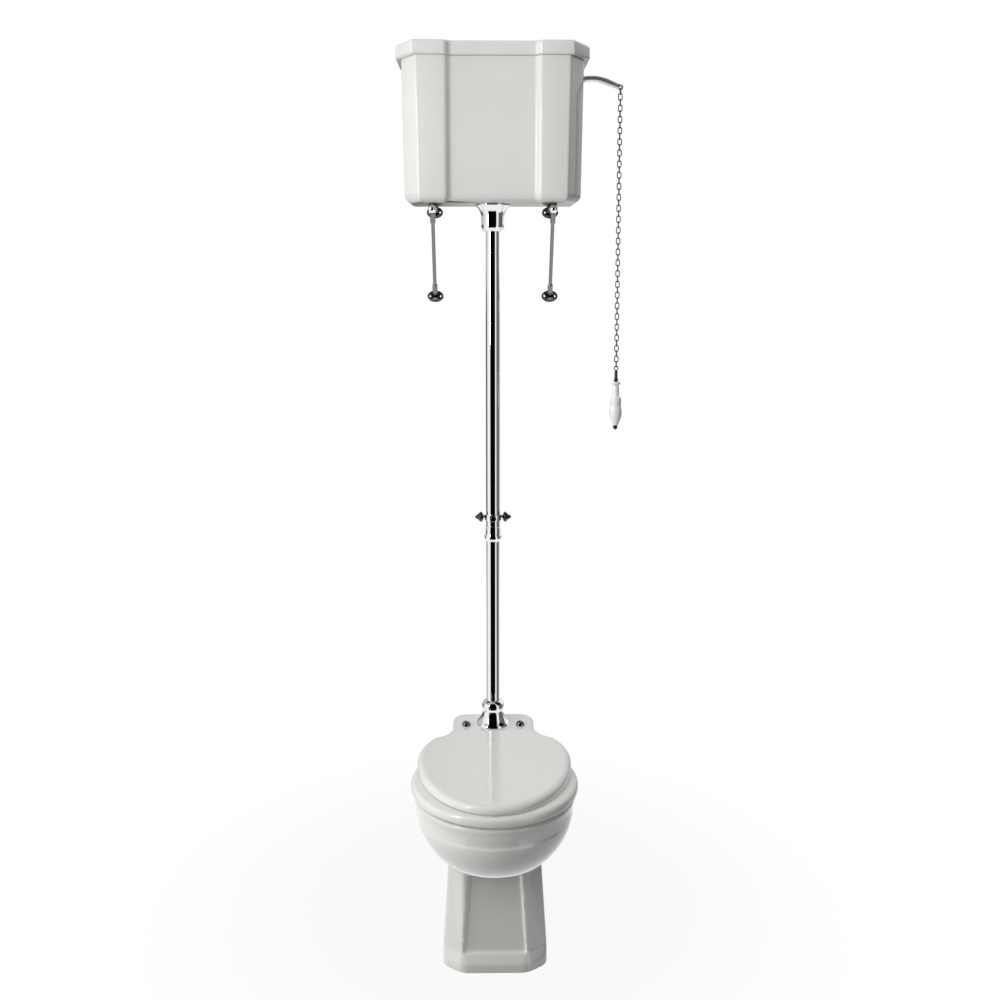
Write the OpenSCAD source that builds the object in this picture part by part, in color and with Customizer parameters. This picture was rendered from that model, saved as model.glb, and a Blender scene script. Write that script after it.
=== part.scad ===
// High tank pull chain toilet: a pan and seat on the floor, a cistern on wall
// brackets, a flush pipe between them, and a siphon worked by a lever and chain.
// Millimetres, +Z up, front towards -Y. The origin lies on the floor, midway
// between the pan's two floor screws. Distances "off the wall" run towards -Y.

/* [Room] */
// Distance from the wall to the line of the pan's floor screws
setback = 260; // [250:1:275]
// Distance from the wall to the axis of the flush pipe
pipe_off = 95; // [90:1:100]
// Height of the cistern's underside above the floor
tank_base_z = 1754; // [1650:2:1900]

/* [Pan] */
// Height of the rim above the floor
pan_h = 400; // [390:2:430]
// Width of the bowl across the rim
pan_w = 366; // [356:2:376]
// Distance from the wall to the widest line of the bowl
bowl_off = 475; // [465:1:485]
// Reach of the rim in front of the widest line
rim_front = 197; // [190:1:203]
// Reach of the rim behind the widest line
rim_back = 215; // [205:1:225]
// Height of the plain band below the top of the rim
rim_band = 50; // [44:1:56]
// Ledge where the rim's band meets the bowl
rim_ledge = 3; // [1:0.5:5]
// Width of the opening inside the rim
mouth_w = 256; // [240:2:270]
// Reach of that opening in front of the widest line
mouth_front = 147; // [135:1:155]
// Reach of that opening behind the widest line
mouth_back = 142; // [130:1:150]
// Thickness of the ceramic
china = 11; // [9:0.5:13]
// Height of the lowest point inside the bowl
sump_z = 128; // [120:1:136]
// Width of the rear shelf
shelf_w = 214; // [206:2:222]
// Gap between the rear shelf and the wall
shelf_gap = 32; // [22:1:40]
// Thickness of the rear shelf
shelf_t = 28; // [24:1:34]
// Corner radius of the rear shelf
shelf_r = 40; // [30:1:46]
// Diameter of the flush inlet hole in the shelf
inlet_hole_d = 52; // [50:0.5:56]
// Diameter of the two tank bolt holes in the shelf
shelf_hole_d = 16; // [12:0.5:18]
// Spacing of the two tank bolt holes in the shelf
shelf_hole_span = 143; // [138:1:150]
// Diameter of the soil outlet
outlet_d = 102; // [98:1:106]
// Height of the soil outlet's axis above the floor
outlet_z = 180; // [174:1:190]
// Gap between the end of the soil outlet and the wall
outlet_gap = 42; // [30:1:60]
// Bore of the trap
trap_bore = 74; // [68:1:78]

/* [Foot] */
// Width of the foot on the floor
foot_w = 242; // [234:2:250]
// Width of the pedestal where it meets the bowl
waist_w = 214; // [208:2:220]
// Distance from the wall to the front of the foot
foot_front = 577; // [565:1:585]
// Length of the broad part of the foot
foot_len = 262; // [240:2:280]
// Width of the foot's front face
foot_face_w = 150; // [140:2:156]
// Depth of the foot's chamfered corners
foot_chamfer = 34; // [26:1:40]
// Height of the plinth's upright face
plinth_h = 22; // [16:1:28]
// Height of the slope above the plinth's face
plinth_slope = 24; // [18:1:30]
// Depth of the sunk panel on the front of the pedestal
panel_depth = 5; // [2:0.5:6]
// Diameter of the floor screw holes
floor_hole_d = 8; // [6:0.5:9]
// Spacing of the floor screw holes
floor_hole_span = 206; // [200:2:210]

/* [Seat] */
// Width of the seat ring
ring_w = 387; // [380:1:392]
// Reach of the ring in front of the bowl's widest line
ring_front = 205; // [202:1:212]
// Thickness of the seat ring
ring_t = 22; // [18:1:26]
// Width of the hole in the seat ring
ring_hole_w = 232; // [220:2:240]
// Width of the seat lid
lid_w = 364; // [356:1:370]
// Reach of the lid in front of the bowl's widest line
lid_front = 192; // [186:1:198]
// Thickness of the seat lid
lid_t = 19; // [16:1:22]
// Distance from the wall to the lid's straight rear edge
lid_rear = 259; // [256:1:262]
// Height of the buffers under the ring and under the lid
buffer_h = 5; // [4:0.5:7]
// Distance from the wall to the seat's hinge bar
hinge_off = 252; // [248:1:256]
// Spacing of the seat's fixing bolts
hinge_span = 155; // [150:1:158]
// Diameter of the hinge bar
hinge_bar_d = 8; // [7:0.5:9]
// Height of the hinge bar above the rim
hinge_bar_h = 18; // [17:0.5:19]

/* [Cistern] */
// Width of the tank at its top
tank_w = 440; // [430:2:450]
// How much narrower the tank is at its bottom
tank_taper = 10; // [0:1:16]
// Depth of the tank off the wall
tank_d = 200; // [196:1:206]
// Height of the tank without its lid
tank_h = 338; // [320:2:360]
// Width of each chamfered corner, seen from the front
corner_w = 41; // [34:1:46]
// Depth of each chamfered corner off the front
corner_d = 60; // [50:1:70]
// Half-width of the sunk panel's floor on the front
panel_half_w = 104; // [96:1:110]
// Depth of the sunk panel on the front
panel_sink = 12; // [6:0.5:14]
// Radius of the tank's bottom edge
tank_edge_r = 22; // [14:1:26]
// Thickness of the tank's walls
tank_t = 10; // [8:0.5:12]
// Height of the tank's lid
cover_h = 34; // [30:1:40]
// How far the lid stands out over the tank's sides
cover_lip = 14; // [10:1:18]
// How far the lid stands out over the tank's front
cover_nose = 8; // [5:1:12]
// Spacing of the two wall screw holes in the tank's back
tank_hole_span = 300; // [280:5:320]

/* [Flush pipe] */
// Outside diameter of the flush pipe
pipe_d = 34; // [32:0.5:36]
// Wall thickness of the flush pipe
pipe_t = 1.5; // [1:0.1:2]
// Height of the joint's bead above the floor
joint_z = 908; // [800:2:1000]
// Height of the wall clip above the floor
clip_z = 961; // [945:1:1050]
// Diameter of the bell cover's foot
bell_d = 86; // [82:1:92]
// Height of the bell cover
bell_h = 66; // [60:1:76]

/* [Brackets] */
// Spacing of the two cistern brackets
bracket_span = 296; // [280:2:320]
// Height between a bracket's upper and lower wall roses
bracket_h = 213; // [180:1:240]
// Diameter of the bracket's arm
arm_d = 14; // [12:0.5:16]
// Length of the bracket's arm off the wall
arm_len = 150; // [140:1:160]
// Diameter of the bracket's strut
strut_d = 9; // [7:0.5:10]
// Width of the oval wall roses
rose_w = 42; // [40:1:46]
// Height of the oval wall roses
rose_h = 30; // [28:1:34]
// Spacing of a wall rose's two screw holes
rose_hole_span = 27; // [25:0.5:29]

/* [Pull] */
// Distance from the tank's side to the tip of the lever
lever_reach = 94; // [80:1:105]
// Diameter of the lever
lever_d = 12; // [10:0.5:12]
// Height from the lever's pivot up to the tank's rim
lever_drop = 40; // [38:1:44]
// Wire diameter of the chain
wire_d = 2.6; // [2.2:0.1:2.8]
// Length of one chain link outside
link_len = 18.9; // [18.3:0.1:20]
// Width of one chain link outside
link_w = 11.6; // [11:0.1:13]
// Links in the upper half of the chain, an odd number
links_upper = 25; // [15:2:31]
// Links in the lower half of the chain, an odd number
links_lower = 25; // [15:2:31]
// Diameter of the pull handle
handle_d = 32; // [28:1:38]
// Length of the pull handle
handle_len = 112; // [100:1:125]

/* [Works] */
// Distance from the flush outlet's axis to the siphon's lift rod
siphon_span = 86; // [80:1:90]
// Outside diameter of the siphon's legs
siphon_leg_d = 46; // [44:1:47]
// Outside diameter of the siphon's chamber
chamber_d = 104; // [96:1:108]
// Diameter of the float ball
float_d = 80; // [72:1:84]
// Distance from the float arm's pin to the float's centre
float_reach = 78; // [72:1:80]
// Diameter of the water inlet's thread
inlet_d = 21; // [20:0.5:22]

/* [Hidden] */
$fn = 64;
fit_gap = 0.3;      // between pieces that only touch
run_gap = 0.05;     // radial play of a pin in its bearing
egg_sides = 48;     // sides of the egg-shaped outlines
seat_hole_d = 15;   // holes for the seat's bolts
duct_half_w = 30;   // channel from the inlet into the bowl
duct_h = 30;
// Colours
china_white = [0.93, 0.93, 0.91];
bright_metal = [0.78, 0.79, 0.8];
black_rubber = [0.12, 0.12, 0.12];
white_plastic = [0.9, 0.9, 0.88];
yellow_brass = [0.75, 0.6, 0.3];

// ---------- shared shapes ----------
// A place off the wall, as a Y value
function at(off) = setback - off;
// An egg in plan: half-width, reach to the front, reach to the back, line of its greatest width
function egg(half_w, front, back, off = bowl_off) =
    [for (i = [0:egg_sides - 1]) let (a = 360 * i / egg_sides)
        [half_w * sin(a), at(off) - (cos(a) > 0 ? front : back) * cos(a)]];
// Points along an arc in the plane
function arc(centre, r, from, to, steps) =
    [for (i = [0:steps]) let (a = from + (to - from) * i / steps) centre + r * [cos(a), sin(a)]];

// A closed skin over sections [height, outline], lowest first
module loft(sections) {
    sides = len(sections[0][1]);
    top = len(sections) - 1;
    points = [for (s = sections) for (p = s[1]) [p[0], p[1], s[0]]];
    skin = [for (k = [0:top - 1]) for (i = [0:sides - 1]) let (j = (i + 1) % sides, a = k * sides,
        b = a + sides)
        each [[a + i, b + i, b + j], [a + i, b + j, a + j]]];
    under = [[for (i = [0:sides - 1]) i]];
    over = [[for (i = [sides - 1:-1:0]) top * sides + i]];
    polyhedron(points, concat(skin, under, over), convexity = 8);
}
// A bent tube through [off, z] points in the plane x = 0, one radius per point
module swept_tube(path, radii, sides = 24) {
    last = len(path) - 1;
    function heading(k) = let (a = path[max(k - 1, 0)], b = path[min(k + 1, last)]) (b - a) / norm(b - a);
    points = [for (k = [0:last]) let (h = heading(k), c = path[k], r = radii[k])
        for (i = [0:sides - 1]) let (a = 360 * i / sides, up = r * sin(a))
            [r * cos(a), at(c[0] - up * h[1]), c[1] + up * h[0]]];
    skin = [for (k = [0:last - 1]) for (i = [0:sides - 1]) let (j = (i + 1) % sides, a = k * sides,
        b = a + sides)
        each [[a + i, b + i, b + j], [a + i, b + j, a + j]]];
    under = [[for (i = [0:sides - 1]) i]];
    over = [[for (i = [sides - 1:-1:0]) last * sides + i]];
    polyhedron(points, concat(skin, under, over), convexity = 8);
}
// A turned piece from [radius, height] points
module turned(profile) rotate_extrude($fn = 64) polygon(profile);
// A plain ring standing on its own plane
module collar(outer_r, inner_r, h) difference() {
    cylinder(r = outer_r, h = h);
    translate([0, 0, -1]) cylinder(r = inner_r, h = h + 2);
}
// Lays a shape that stands along Z along the way off the wall instead
module off_wall() rotate([90, 0, 0]) children();
module on_both_sides(half_span) for (side = [-1, 1]) translate([side * half_span, 0, 0]) children();

// ---------- pan ----------
ridge_z = pan_h - rim_band;
waist_z = ridge_z - 114;
band_half_w = pan_w / 2 - 6;
inner_top_z = ridge_z - 5;
inner_half_w = band_half_w - 24;
inner_front = rim_front - 35;
inner_back = rim_back - 58;
foot_back = foot_front - foot_len;
// How full the bowl is at height z, outside and inside
function full(z, depth) = sqrt(1 - pow((ridge_z - z) / depth, 1.6));
function hollow(z) = 1 - (inner_top_z - z) / (inner_top_z - sump_z + 20);
function bowl_ring(z) = [z, egg(band_half_w * full(z, 154), (rim_front - 4) * full(z, 140),
    (rim_back - 8) * full(z, 160))];
function cavity(z, wall) = [z, egg(inner_half_w * pow(hollow(z), 0.75) + wall,
    inner_front * pow(hollow(z), 1.2) + wall, inner_back * pow(hollow(z), 0.9) + wall)];
function rim_band_ring(z, inset) = [z, egg(pan_w / 2 - inset, rim_front - inset, rim_back - inset)];
function mouth_ring(z, grow) = [z, egg(mouth_w / 2 + grow, mouth_front + grow, mouth_back + grow)];

// Sections of the bowl's outside: 0 to 3 the sump, 3 to 11 the bowl, 11 to 15 the rim
bowl_sections = concat(
    [for (z = [sump_z - china, sump_z + 10, sump_z + 40, waist_z - 34]) cavity(z, china)],
    [for (i = [0:6]) bowl_ring(waist_z + i * (ridge_z - waist_z) / 6)],
    [rim_band_ring(ridge_z + 2, 4 + rim_ledge), rim_band_ring(pan_h - 25, 3 + rim_ledge),
     rim_band_ring(pan_h - 8, 0), rim_band_ring(pan_h - 2.5, 2), rim_band_ring(pan_h, 7)]);
// Sections of its hollow: 0 to 4 the sump, 3 to 8 the bowl, 7 to 11 the mouth
hollow_sections = concat(
    [for (z = [0, 6, 18, 45, 80, 120]) cavity(sump_z + z, 0)],
    [cavity(inner_top_z - 40, 0), cavity(inner_top_z, 0)],
    [mouth_ring(ridge_z + 6, 0), mouth_ring(pan_h - 6, 0), mouth_ring(pan_h - 1.5, 2),
     mouth_ring(pan_h + 1, 6)]);
module bowl_outside(first, last) loft([for (i = [first:last]) bowl_sections[i]]);
module bowl_inside(first, last) loft([for (i = [first:last]) hollow_sections[i]]);

function foot_ring(z, half_face, half_w, front, chamfer, back) = [z, [
    [-half_face, at(front)], [half_face, at(front)], [half_w, at(front - chamfer)], [half_w, at(back)],
    [-half_w, at(back)], [-half_w, at(front - chamfer)]]];
module pedestal(inset, start_z) {
    face = foot_face_w / 2 - inset / 2;
    top_z = waist_z + 13;
    slope_z = plinth_h + plinth_slope;
    loft([
        foot_ring(start_z, face, foot_w / 2 - inset, foot_front - inset, foot_chamfer, foot_back + inset),
        foot_ring(plinth_h, face, foot_w / 2 - inset, foot_front - inset, foot_chamfer, foot_back + inset),
        foot_ring(slope_z, face - 1, foot_w / 2 - 1 - inset, foot_front - 11 - inset, foot_chamfer - 4,
            foot_back + inset),
        foot_ring(top_z, face - 3, waist_w / 2 - inset, foot_front - 17 - inset, foot_chamfer - 4,
            foot_back + inset)]);
}
// The sunk panel on the pedestal's front, wider at its foot
module pedestal_panel() {
    low_z = plinth_h + plinth_slope - 3;
    high_z = waist_z - 4;
    lean = 6;
    reach = 30;
    translate([0, at(foot_front - 12), low_z])
        rotate([-atan(lean / (high_z - low_z)), 0, 0])
            translate([0, panel_depth, 0]) off_wall()
                linear_extrude(reach) polygon([[-foot_face_w / 2 + 3, 0], [foot_face_w / 2 - 3, 0],
                    [waist_w / 2 - 48, high_z - low_z], [48 - waist_w / 2, high_z - low_z]]);
}
// Bends of the trap: down from the sump, up and over the weir, down to the outlet
trap_bend = 55;
trap_dip = [bowl_off - 83, sump_z + 49];
trap_weir = [bowl_off - 215, sump_z + 63];
trap_end = [bowl_off - 317, outlet_z + trap_bend];
trap_path = concat([[bowl_off - 14, sump_z + 40]],
    arc(trap_dip, trap_bend, -45, -152, 5), arc(trap_weir, trap_bend, 28, 150, 6),
    arc(trap_end, trap_bend, -30, -90, 3), [[trap_end[0] - 30, outlet_z]]);
trap_last = len(trap_path) - 1;
// The bent bar of the trap, or only a stretch of it
module trap(r, first = 0, last = trap_last) swept_tube([for (i = [first:last]) trap_path[i]],
    [for (i = [first:last]) r]);

// The narrow rear of the pan, under the shelf: [height, half-width, back edge off the wall]
neck_curve = 118;
neck_z = pan_h - shelf_t - neck_curve;
neck_back = foot_back - 84;
neck_plan = concat([[0, 86, neck_back + 4], [190, 84, neck_back + 2], [neck_z - 20, 78, neck_back]],
    [for (t = [0:18:72]) [neck_z + neck_curve * sin(t), 74 - t / 4, neck_back - neck_curve * (1 - cos(t))]],
    [[pan_h - shelf_t + 6, 55, neck_back - 96]]);
neck_corner = 14;
function neck_ring(n, inset) = let (half = n[1] - inset, back = at(n[2] + inset),
    front = at(foot_back + 76),
        r = neck_corner)
    [n[0], [[-half, front], [half, front], [half, back - r], [half - r * 0.3, back - r * 0.3],
        [half - r, back], [r - half, back], [r * 0.3 - half, back - r * 0.3], [-half, back - r]]];
module neck_outside() loft([for (n = neck_plan) neck_ring(n, 0)]);
module neck_inside() loft([for (n = neck_plan) if (n[0] < pan_h - 80)
    neck_ring([n[0] - (n[0] == 0 ? 1 : 0), n[1], n[2]], china)]);
module foot_flange() translate([-foot_w / 2, at(setback + 26), 0]) cube([foot_w, 64, plinth_h]);

cap_off = pipe_off + 15;
// The channel that leads the flush from the shelf down into the bowl
duct_slope = 9;
module duct(half_w, height, from, to) translate([0, at(pipe_off), pan_h - 34])
    rotate([duct_slope, 0, 0]) translate([-half_w, -to, -height / 2]) cube([2 * half_w, to - from, height]);

module shelf() translate([0, 0, pan_h - shelf_t]) linear_extrude(shelf_t) {
    half = shelf_w / 2;
    straight = bowl_off - 150 - shelf_gap - shelf_r;
    translate([-half, at(shelf_gap + shelf_r + straight)]) square([shelf_w, straight]);
    translate([shelf_r - half, at(shelf_gap + shelf_r) - 1]) square([shelf_w - 2 * shelf_r, shelf_r + 1]);
    on_both_sides(half - shelf_r) translate([0, at(shelf_gap + shelf_r)]) circle(r = shelf_r);
}
// The casting is given as the parts that it is luted together from before firing
module outlet_bar(r, from, to) translate([0, at(from), outlet_z]) rotate([-90, 0, 0])
    cylinder(r = r, h = from - to);
module outlet_outside() outlet_bar(outlet_d / 2, trap_end[0], outlet_gap);
module waterway(first) {
    trap(trap_bore / 2, first);
    outlet_bar(trap_bore / 2, trap_end[0] + 20, outlet_gap - 20);
}
module pan_rim() color(china_white) difference() {
    bowl_outside(11, 15);
    bowl_inside(7, 11);
}
module pan_bowl() color(china_white) difference() {
    bowl_outside(3, 11);
    bowl_inside(3, 8);
    trap(trap_bore / 2, 5, 11);
    duct(duct_half_w, duct_h, -22, 245);
}
module pan_sump() color(china_white) difference() {
    bowl_outside(0, 3);
    bowl_inside(0, 4);
    trap(trap_bore / 2);
}
module pan_trap() color(china_white) difference() {
    trap(trap_bore / 2 + china);
    bowl_outside(0, 9);
    outlet_outside();
    waterway(0);
}
module pan_outlet() color(china_white) difference() {
    outlet_outside();
    waterway(12);
}
module pan_foot() color(china_white) difference() {
    pedestal(0, 0);
    pedestal(china, -1);
    neck_inside();
    bowl_outside(0, 6);
    pedestal_panel();
}
module pan_neck() color(china_white) difference() {
    union() {
        difference() {
            union() {
                foot_flange();
                neck_outside();
            }
            pedestal(0, -1);
            neck_inside();
        }
        duct(duct_half_w + china, duct_h + 2 * china, -36, 190);
        shelf();
    }
    bowl_outside(3, 15);
    trap(trap_bore / 2 + china);
    outlet_outside();
    duct(duct_half_w, duct_h, -22, 245);
    translate([0, at(pipe_off), pan_h - 40]) cylinder(d = inlet_hole_d, h = 50);
    on_both_sides(shelf_hole_span / 2) translate([0, at(cap_off), pan_h - shelf_t - 20])
        cylinder(d = shelf_hole_d, h = shelf_t + 30);
    on_both_sides(hinge_span / 2) translate([0, at(hinge_off), pan_h - shelf_t - 20])
        cylinder(d = seat_hole_d, h = shelf_t + 30);
    on_both_sides(floor_hole_span / 2) translate([0, at(setback), -1])
        cylinder(d = floor_hole_d, h = plinth_h + 2);
}
module shelf_hole_caps() color(bright_metal) on_both_sides(shelf_hole_span / 2)
    translate([0, at(cap_off), pan_h + fit_gap]) turned([[0, -8], [shelf_hole_d / 2 - 0.3, -8],
        [shelf_hole_d / 2 - 0.3, 0], [11.5, 0], [11.5, 2], [10.8, 5], [9, 8], [6, 10.2], [3, 11.2],
        [0, 11.5]]);

// ---------- seat ----------
ring_z = pan_h + buffer_h;
ring_top = ring_z + ring_t;
ring_rear = 288;
lid_z = ring_top + 3;
lid_mid = bowl_off - 70;
bar_z = pan_h + hinge_bar_h;
knuckle_r = 7.5;
seat_bolt_r = 4;
lid_rear_half = 108;
shoulder_r = 34;
module cut_behind(off) translate([-300, at(off), 0]) cube([600, 400, pan_h + 200]);
module seat_ring() color(china_white) difference() {
    loft([for (s = [[0, 4], [3, 0.5], [8, 0], [ring_t - 7, 1], [ring_t - 2.5, 4], [ring_t, 11]])
        [ring_z + s[0], egg(ring_w / 2 - s[1], ring_front - s[1], 210 - s[1])]]);
    loft([for (s = [[-1, 0], [4, -1], [ring_t - 8, 0], [ring_t - 3, 3], [ring_t + 1, 9]])
        [ring_z + s[0], egg(ring_hole_w / 2 + s[1], 152 + s[1], 128 + s[1])]]);
    cut_behind(ring_rear);
}
module seat_ring_buffers() color(black_rubber) for (p = [[99, 606], [120, 362]]) on_both_sides(p[0])
    translate([0, at(p[1]), pan_h + fit_gap]) turned([[0, 0], [6, 0], [8, buffer_h - 1],
        [8, buffer_h - fit_gap],
        [0, buffer_h - fit_gap]]);
// A hinge seen from the side, in distances off the wall, given as its tube and its leaf
module hinge_leaf(x, length, profile) on_both_sides(x) translate([-length / 2, 0, 0]) difference() {
    union() {
        rotate([90, 0, 90]) linear_extrude(length) polygon([for (p = profile) [at(p[0]), p[1]]]);
        translate([0, at(hinge_off), bar_z]) rotate([0, 90, 0]) cylinder(r = knuckle_r, h = length);
    }
    translate([-1, at(hinge_off), bar_z]) rotate([0, 90, 0])
        cylinder(d = hinge_bar_d + 2 * run_gap, h = length + 2);
}
module seat_ring_hinges() color(bright_metal) hinge_leaf(hinge_span / 2 - 20.5, 20, [[hinge_off,
    bar_z - 6.8],
    [hinge_off + 24, ring_z - 3.3], [hinge_off + 62, ring_z - 3.3], [hinge_off + 62, ring_z - fit_gap],
    [hinge_off + 33, ring_z - fit_gap], [hinge_off + 6, bar_z + 2]]);
module seat_lid_hinges() color(bright_metal) hinge_leaf(35.5, 21, [[hinge_off - 6, bar_z + 3],
    [hinge_off + 5, bar_z], [hinge_off + 10, lid_z - 3.3], [hinge_off + 32, lid_z - 3.3],
    [hinge_off + 32, lid_z - fit_gap], [hinge_off, lid_z - fit_gap]]);
module seat_lid() color(china_white) difference() {
    loft([for (s = [[0, 4], [2.5, 0.6], [6, 0], [12, 1.5], [15.5, 4.5], [17.8, 8.5], [lid_t, 16]])
        [lid_z + s[0], egg(lid_w / 2 - s[1], lid_front + 70 - s[1], 193 - s[1], lid_mid)]]);
    cut_behind(lid_rear);
    // the shoulders where the lid narrows to the width of the shelf
    on_both_sides(lid_rear_half + shoulder_r) translate([0, at(lid_rear - 1), lid_z - 1])
        cylinder(r = shoulder_r, h = lid_t + 2);
}
module seat_lid_buffers() color(black_rubber) for (p = [[104, 590], [112, 372]]) on_both_sides(p[0])
    translate([0, at(p[1]), ring_top + fit_gap]) cylinder(r = 7, h = lid_z - ring_top - 2 * fit_gap);
module hinge_bar() color(bright_metal) translate([-hinge_span / 2 - 11, at(hinge_off), bar_z])
    rotate([0, 90, 0]) cylinder(d = hinge_bar_d, h = hinge_span + 22);
module hinge_pillars() color(bright_metal) on_both_sides(hinge_span / 2) difference() {
    union() {
        translate([0, at(hinge_off), pan_h + fit_gap]) turned([[0, 0], [14, 0], [14, 2.5], [11, 5], [8, 7],
            [7.5, 12], [0, 12]]);
        translate([-9, at(hinge_off), bar_z]) rotate([0, 90, 0]) cylinder(r = 8.5, h = 18);
    }
    translate([-20, at(hinge_off), bar_z]) rotate([0, 90, 0]) cylinder(d = hinge_bar_d + 0.04, h = 40);
    translate([0, at(hinge_off), pan_h - 1]) cylinder(r = seat_bolt_r + 0.02, h = 9);
}
module seat_bolts() color(bright_metal) on_both_sides(hinge_span / 2)
    translate([0, at(hinge_off), pan_h - 56]) cylinder(r = seat_bolt_r, h = 63.5);
module seat_bolt_washers() color(black_rubber) on_both_sides(hinge_span / 2)
    translate([0, at(hinge_off), pan_h - shelf_t - fit_gap - 3]) collar(13, seat_bolt_r + 0.1, 3);
module seat_wing_nuts() color(white_plastic) on_both_sides(hinge_span / 2)
    translate([0, at(hinge_off), pan_h - shelf_t - 16]) difference() {
        union() {
            cylinder(r = 8, h = 12);
            translate([-1.5, -20, 0]) cube([3, 40, 10]);
        }
        translate([0, 0, -1]) cylinder(r = seat_bolt_r + 0.1, h = 14);
    }

// ---------- flush pipe ----------
pipe_r = pipe_d / 2;
pipe_end_z = tank_base_z - 42;
socket_h = 30;
module at_pipe(z) translate([0, at(pipe_off), z]) children();
module flush_cone() color(black_rubber) at_pipe(pan_h) difference() {
    turned([[0, -26], [22, -26], [inlet_hole_d / 2 - 0.3, -2], [inlet_hole_d / 2 - 0.3, 0.3], [32, 0.3],
        [32, 3.5], [0, 3.5]]);
    translate([0, 0, -30]) cylinder(r = pipe_r + run_gap, h = 40);
}
module bell_cover() color(bright_metal) at_pipe(pan_h + fit_gap) turned([
    [bell_d / 2 - 2.5, 0], [bell_d / 2, 0], [bell_d / 2, 2.5], [37, 9], [31, 16], [27, 22], [25, 27],
        [25, 38],
    [28, 39], [29.5, 42], [29.5, 52], [28, 55], [26, 58], [22, 62], [pipe_r + 0.3, bell_h],
        [pipe_r + 0.3, bell_h - 3],
    [20.5, 59], [23.5, 54], [23.5, 30], [23, 27], [25, 21], [29, 15], [35, 8]]);
module lower_flush_pipe() color(bright_metal) at_pipe(0) turned([
    [pipe_r - pipe_t, pan_h - 38], [pipe_r, pan_h - 38], [pipe_r, joint_z - 18],
        [pipe_r + 1.8, joint_z - 12],
    [pipe_r + 1.8, joint_z - 8], [pipe_r + 4.5, joint_z - 6.5], [pipe_r + 6, joint_z - 3],
    [pipe_r + 6, joint_z + 3], [pipe_r + 4.5, joint_z + 6.5], [pipe_r + 1.8, joint_z + 8],
    [pipe_r + 1.8, joint_z + socket_h - 2], [pipe_r + 2.6, joint_z + socket_h],
        [pipe_r + 0.3, joint_z + socket_h],
    [pipe_r + 0.3, joint_z + 4.5], [pipe_r + 4.5, joint_z + 4.5], [pipe_r + 4.5, joint_z - 4.5],
    [pipe_r + 0.3, joint_z - 4.5], [pipe_r + 0.3, joint_z - 12], [pipe_r - pipe_t, joint_z - 16]]);
module joint_seal() color(black_rubber) at_pipe(joint_z - 4) difference() {
    cylinder(r = pipe_r + 4.2, h = 8);
    translate([0, 0, -1]) cylinder(r = pipe_r + run_gap, h = 10);
}
module upper_flush_pipe() color(bright_metal) at_pipe(joint_z - 11)
    collar(pipe_r, pipe_r - pipe_t, pipe_end_z - joint_z + 11);

clip_r = pipe_r + 4.5;
clip_boss_r = 5;
clip_thread_r = 2.5;
clip_hole_span = 21;
module pipe_clip() color(bright_metal) difference() {
    union() {
        at_pipe(clip_z - 7.5) cylinder(r = clip_r, h = 15);
        // stem and wall rose
        translate([0, at(1), clip_z]) off_wall() cylinder(r = clip_boss_r, h = pipe_off - 8);
        translate([0, at(0.2), clip_z]) off_wall() turned([[0, 0], [16, 0], [16, 2], [13, 5], [8, 7.5],
            [6.5, 12], [0, 12]]);
        // bosses for the finials and the front screw
        translate([-clip_r - 3, at(pipe_off), clip_z]) rotate([0, 90, 0])
            cylinder(r = clip_boss_r, h = 2 * clip_r + 6);
        translate([0, at(pipe_off), clip_z]) off_wall() cylinder(r = clip_boss_r, h = clip_r + 3);
    }
    at_pipe(clip_z - 20) cylinder(r = pipe_r + 0.1, h = 40);
    translate([-40, at(pipe_off), clip_z]) rotate([0, 90, 0]) cylinder(r = clip_thread_r, h = 80);
    translate([0, at(pipe_off), clip_z]) off_wall() cylinder(r = clip_thread_r, h = 40);
    on_both_sides(clip_hole_span / 2) translate([0, at(-1), clip_z]) off_wall() cylinder(r = 2, h = 12);
}
stud_r = clip_thread_r - 0.1;
finial = [[0, pipe_r + 0.6], [stud_r, pipe_r + 0.6], [stud_r, clip_r + 3.3], [6, clip_r + 3.3],
    [7, clip_r + 5],
    [11.5, clip_r + 6], [13.5, clip_r + 8.5], [12, clip_r + 11], [8, clip_r + 13.5], [6, clip_r + 16],
    [5.5, clip_r + 18], [7, clip_r + 20], [5, clip_r + 23], [0, clip_r + 26]];
module clip_finials() color(bright_metal) at_pipe(clip_z) for (side = [-1, 1])
    rotate([0, side * 90, 0]) turned(finial);
module clip_front_screw() color(bright_metal) at_pipe(clip_z) off_wall() turned([[0, pipe_r + 0.6],
    [stud_r, pipe_r + 0.6], [stud_r, clip_r + 3.3], [7, clip_r + 3.3], [8.2, clip_r + 5], [8.2, clip_r + 8],
    [6.5, clip_r + 10], [0, clip_r + 11]]);

nut_drop = 66;
tail_r = 24;         // the siphon's threaded tail below the tank
tail_drop = 50;
module outlet_nut() color(bright_metal) at_pipe(tank_base_z - fit_gap) turned([
    [pipe_r + 0.3, -nut_drop], [22, 1.5 - nut_drop], [27, 7 - nut_drop], [29, 13 - nut_drop], [29.3, -26],
    [31, -20], [35, -12], [40, -6], [42.5, -3], [42.5, 0], [40.5, 0], [39, -3], [34.5, -8], [34.5, -11],
    [tail_r + 0.3, -11], [tail_r + 0.3, -tail_drop], [22.5, -tail_drop], [22.5, -58.5],
    [pipe_r + 0.3, -58.5]]);
module pipe_olive() color(black_rubber) at_pipe(tank_base_z - 58.5) collar(22.2, pipe_r + run_gap, 8);
module siphon_back_nut() color(yellow_brass) at_pipe(tank_base_z - 9.5) difference() {
    cylinder(r = 33, h = 9, $fn = 6);
    translate([0, 0, -1]) cylinder(r = tail_r + run_gap, h = 12);
}

// ---------- cistern ----------
tank_floor = 14;
tank_top_z = tank_base_z + tank_h;
outlet_hole_r = 25;
lever_hole_r = 13.2;
wall_hole_r = 4;
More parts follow.
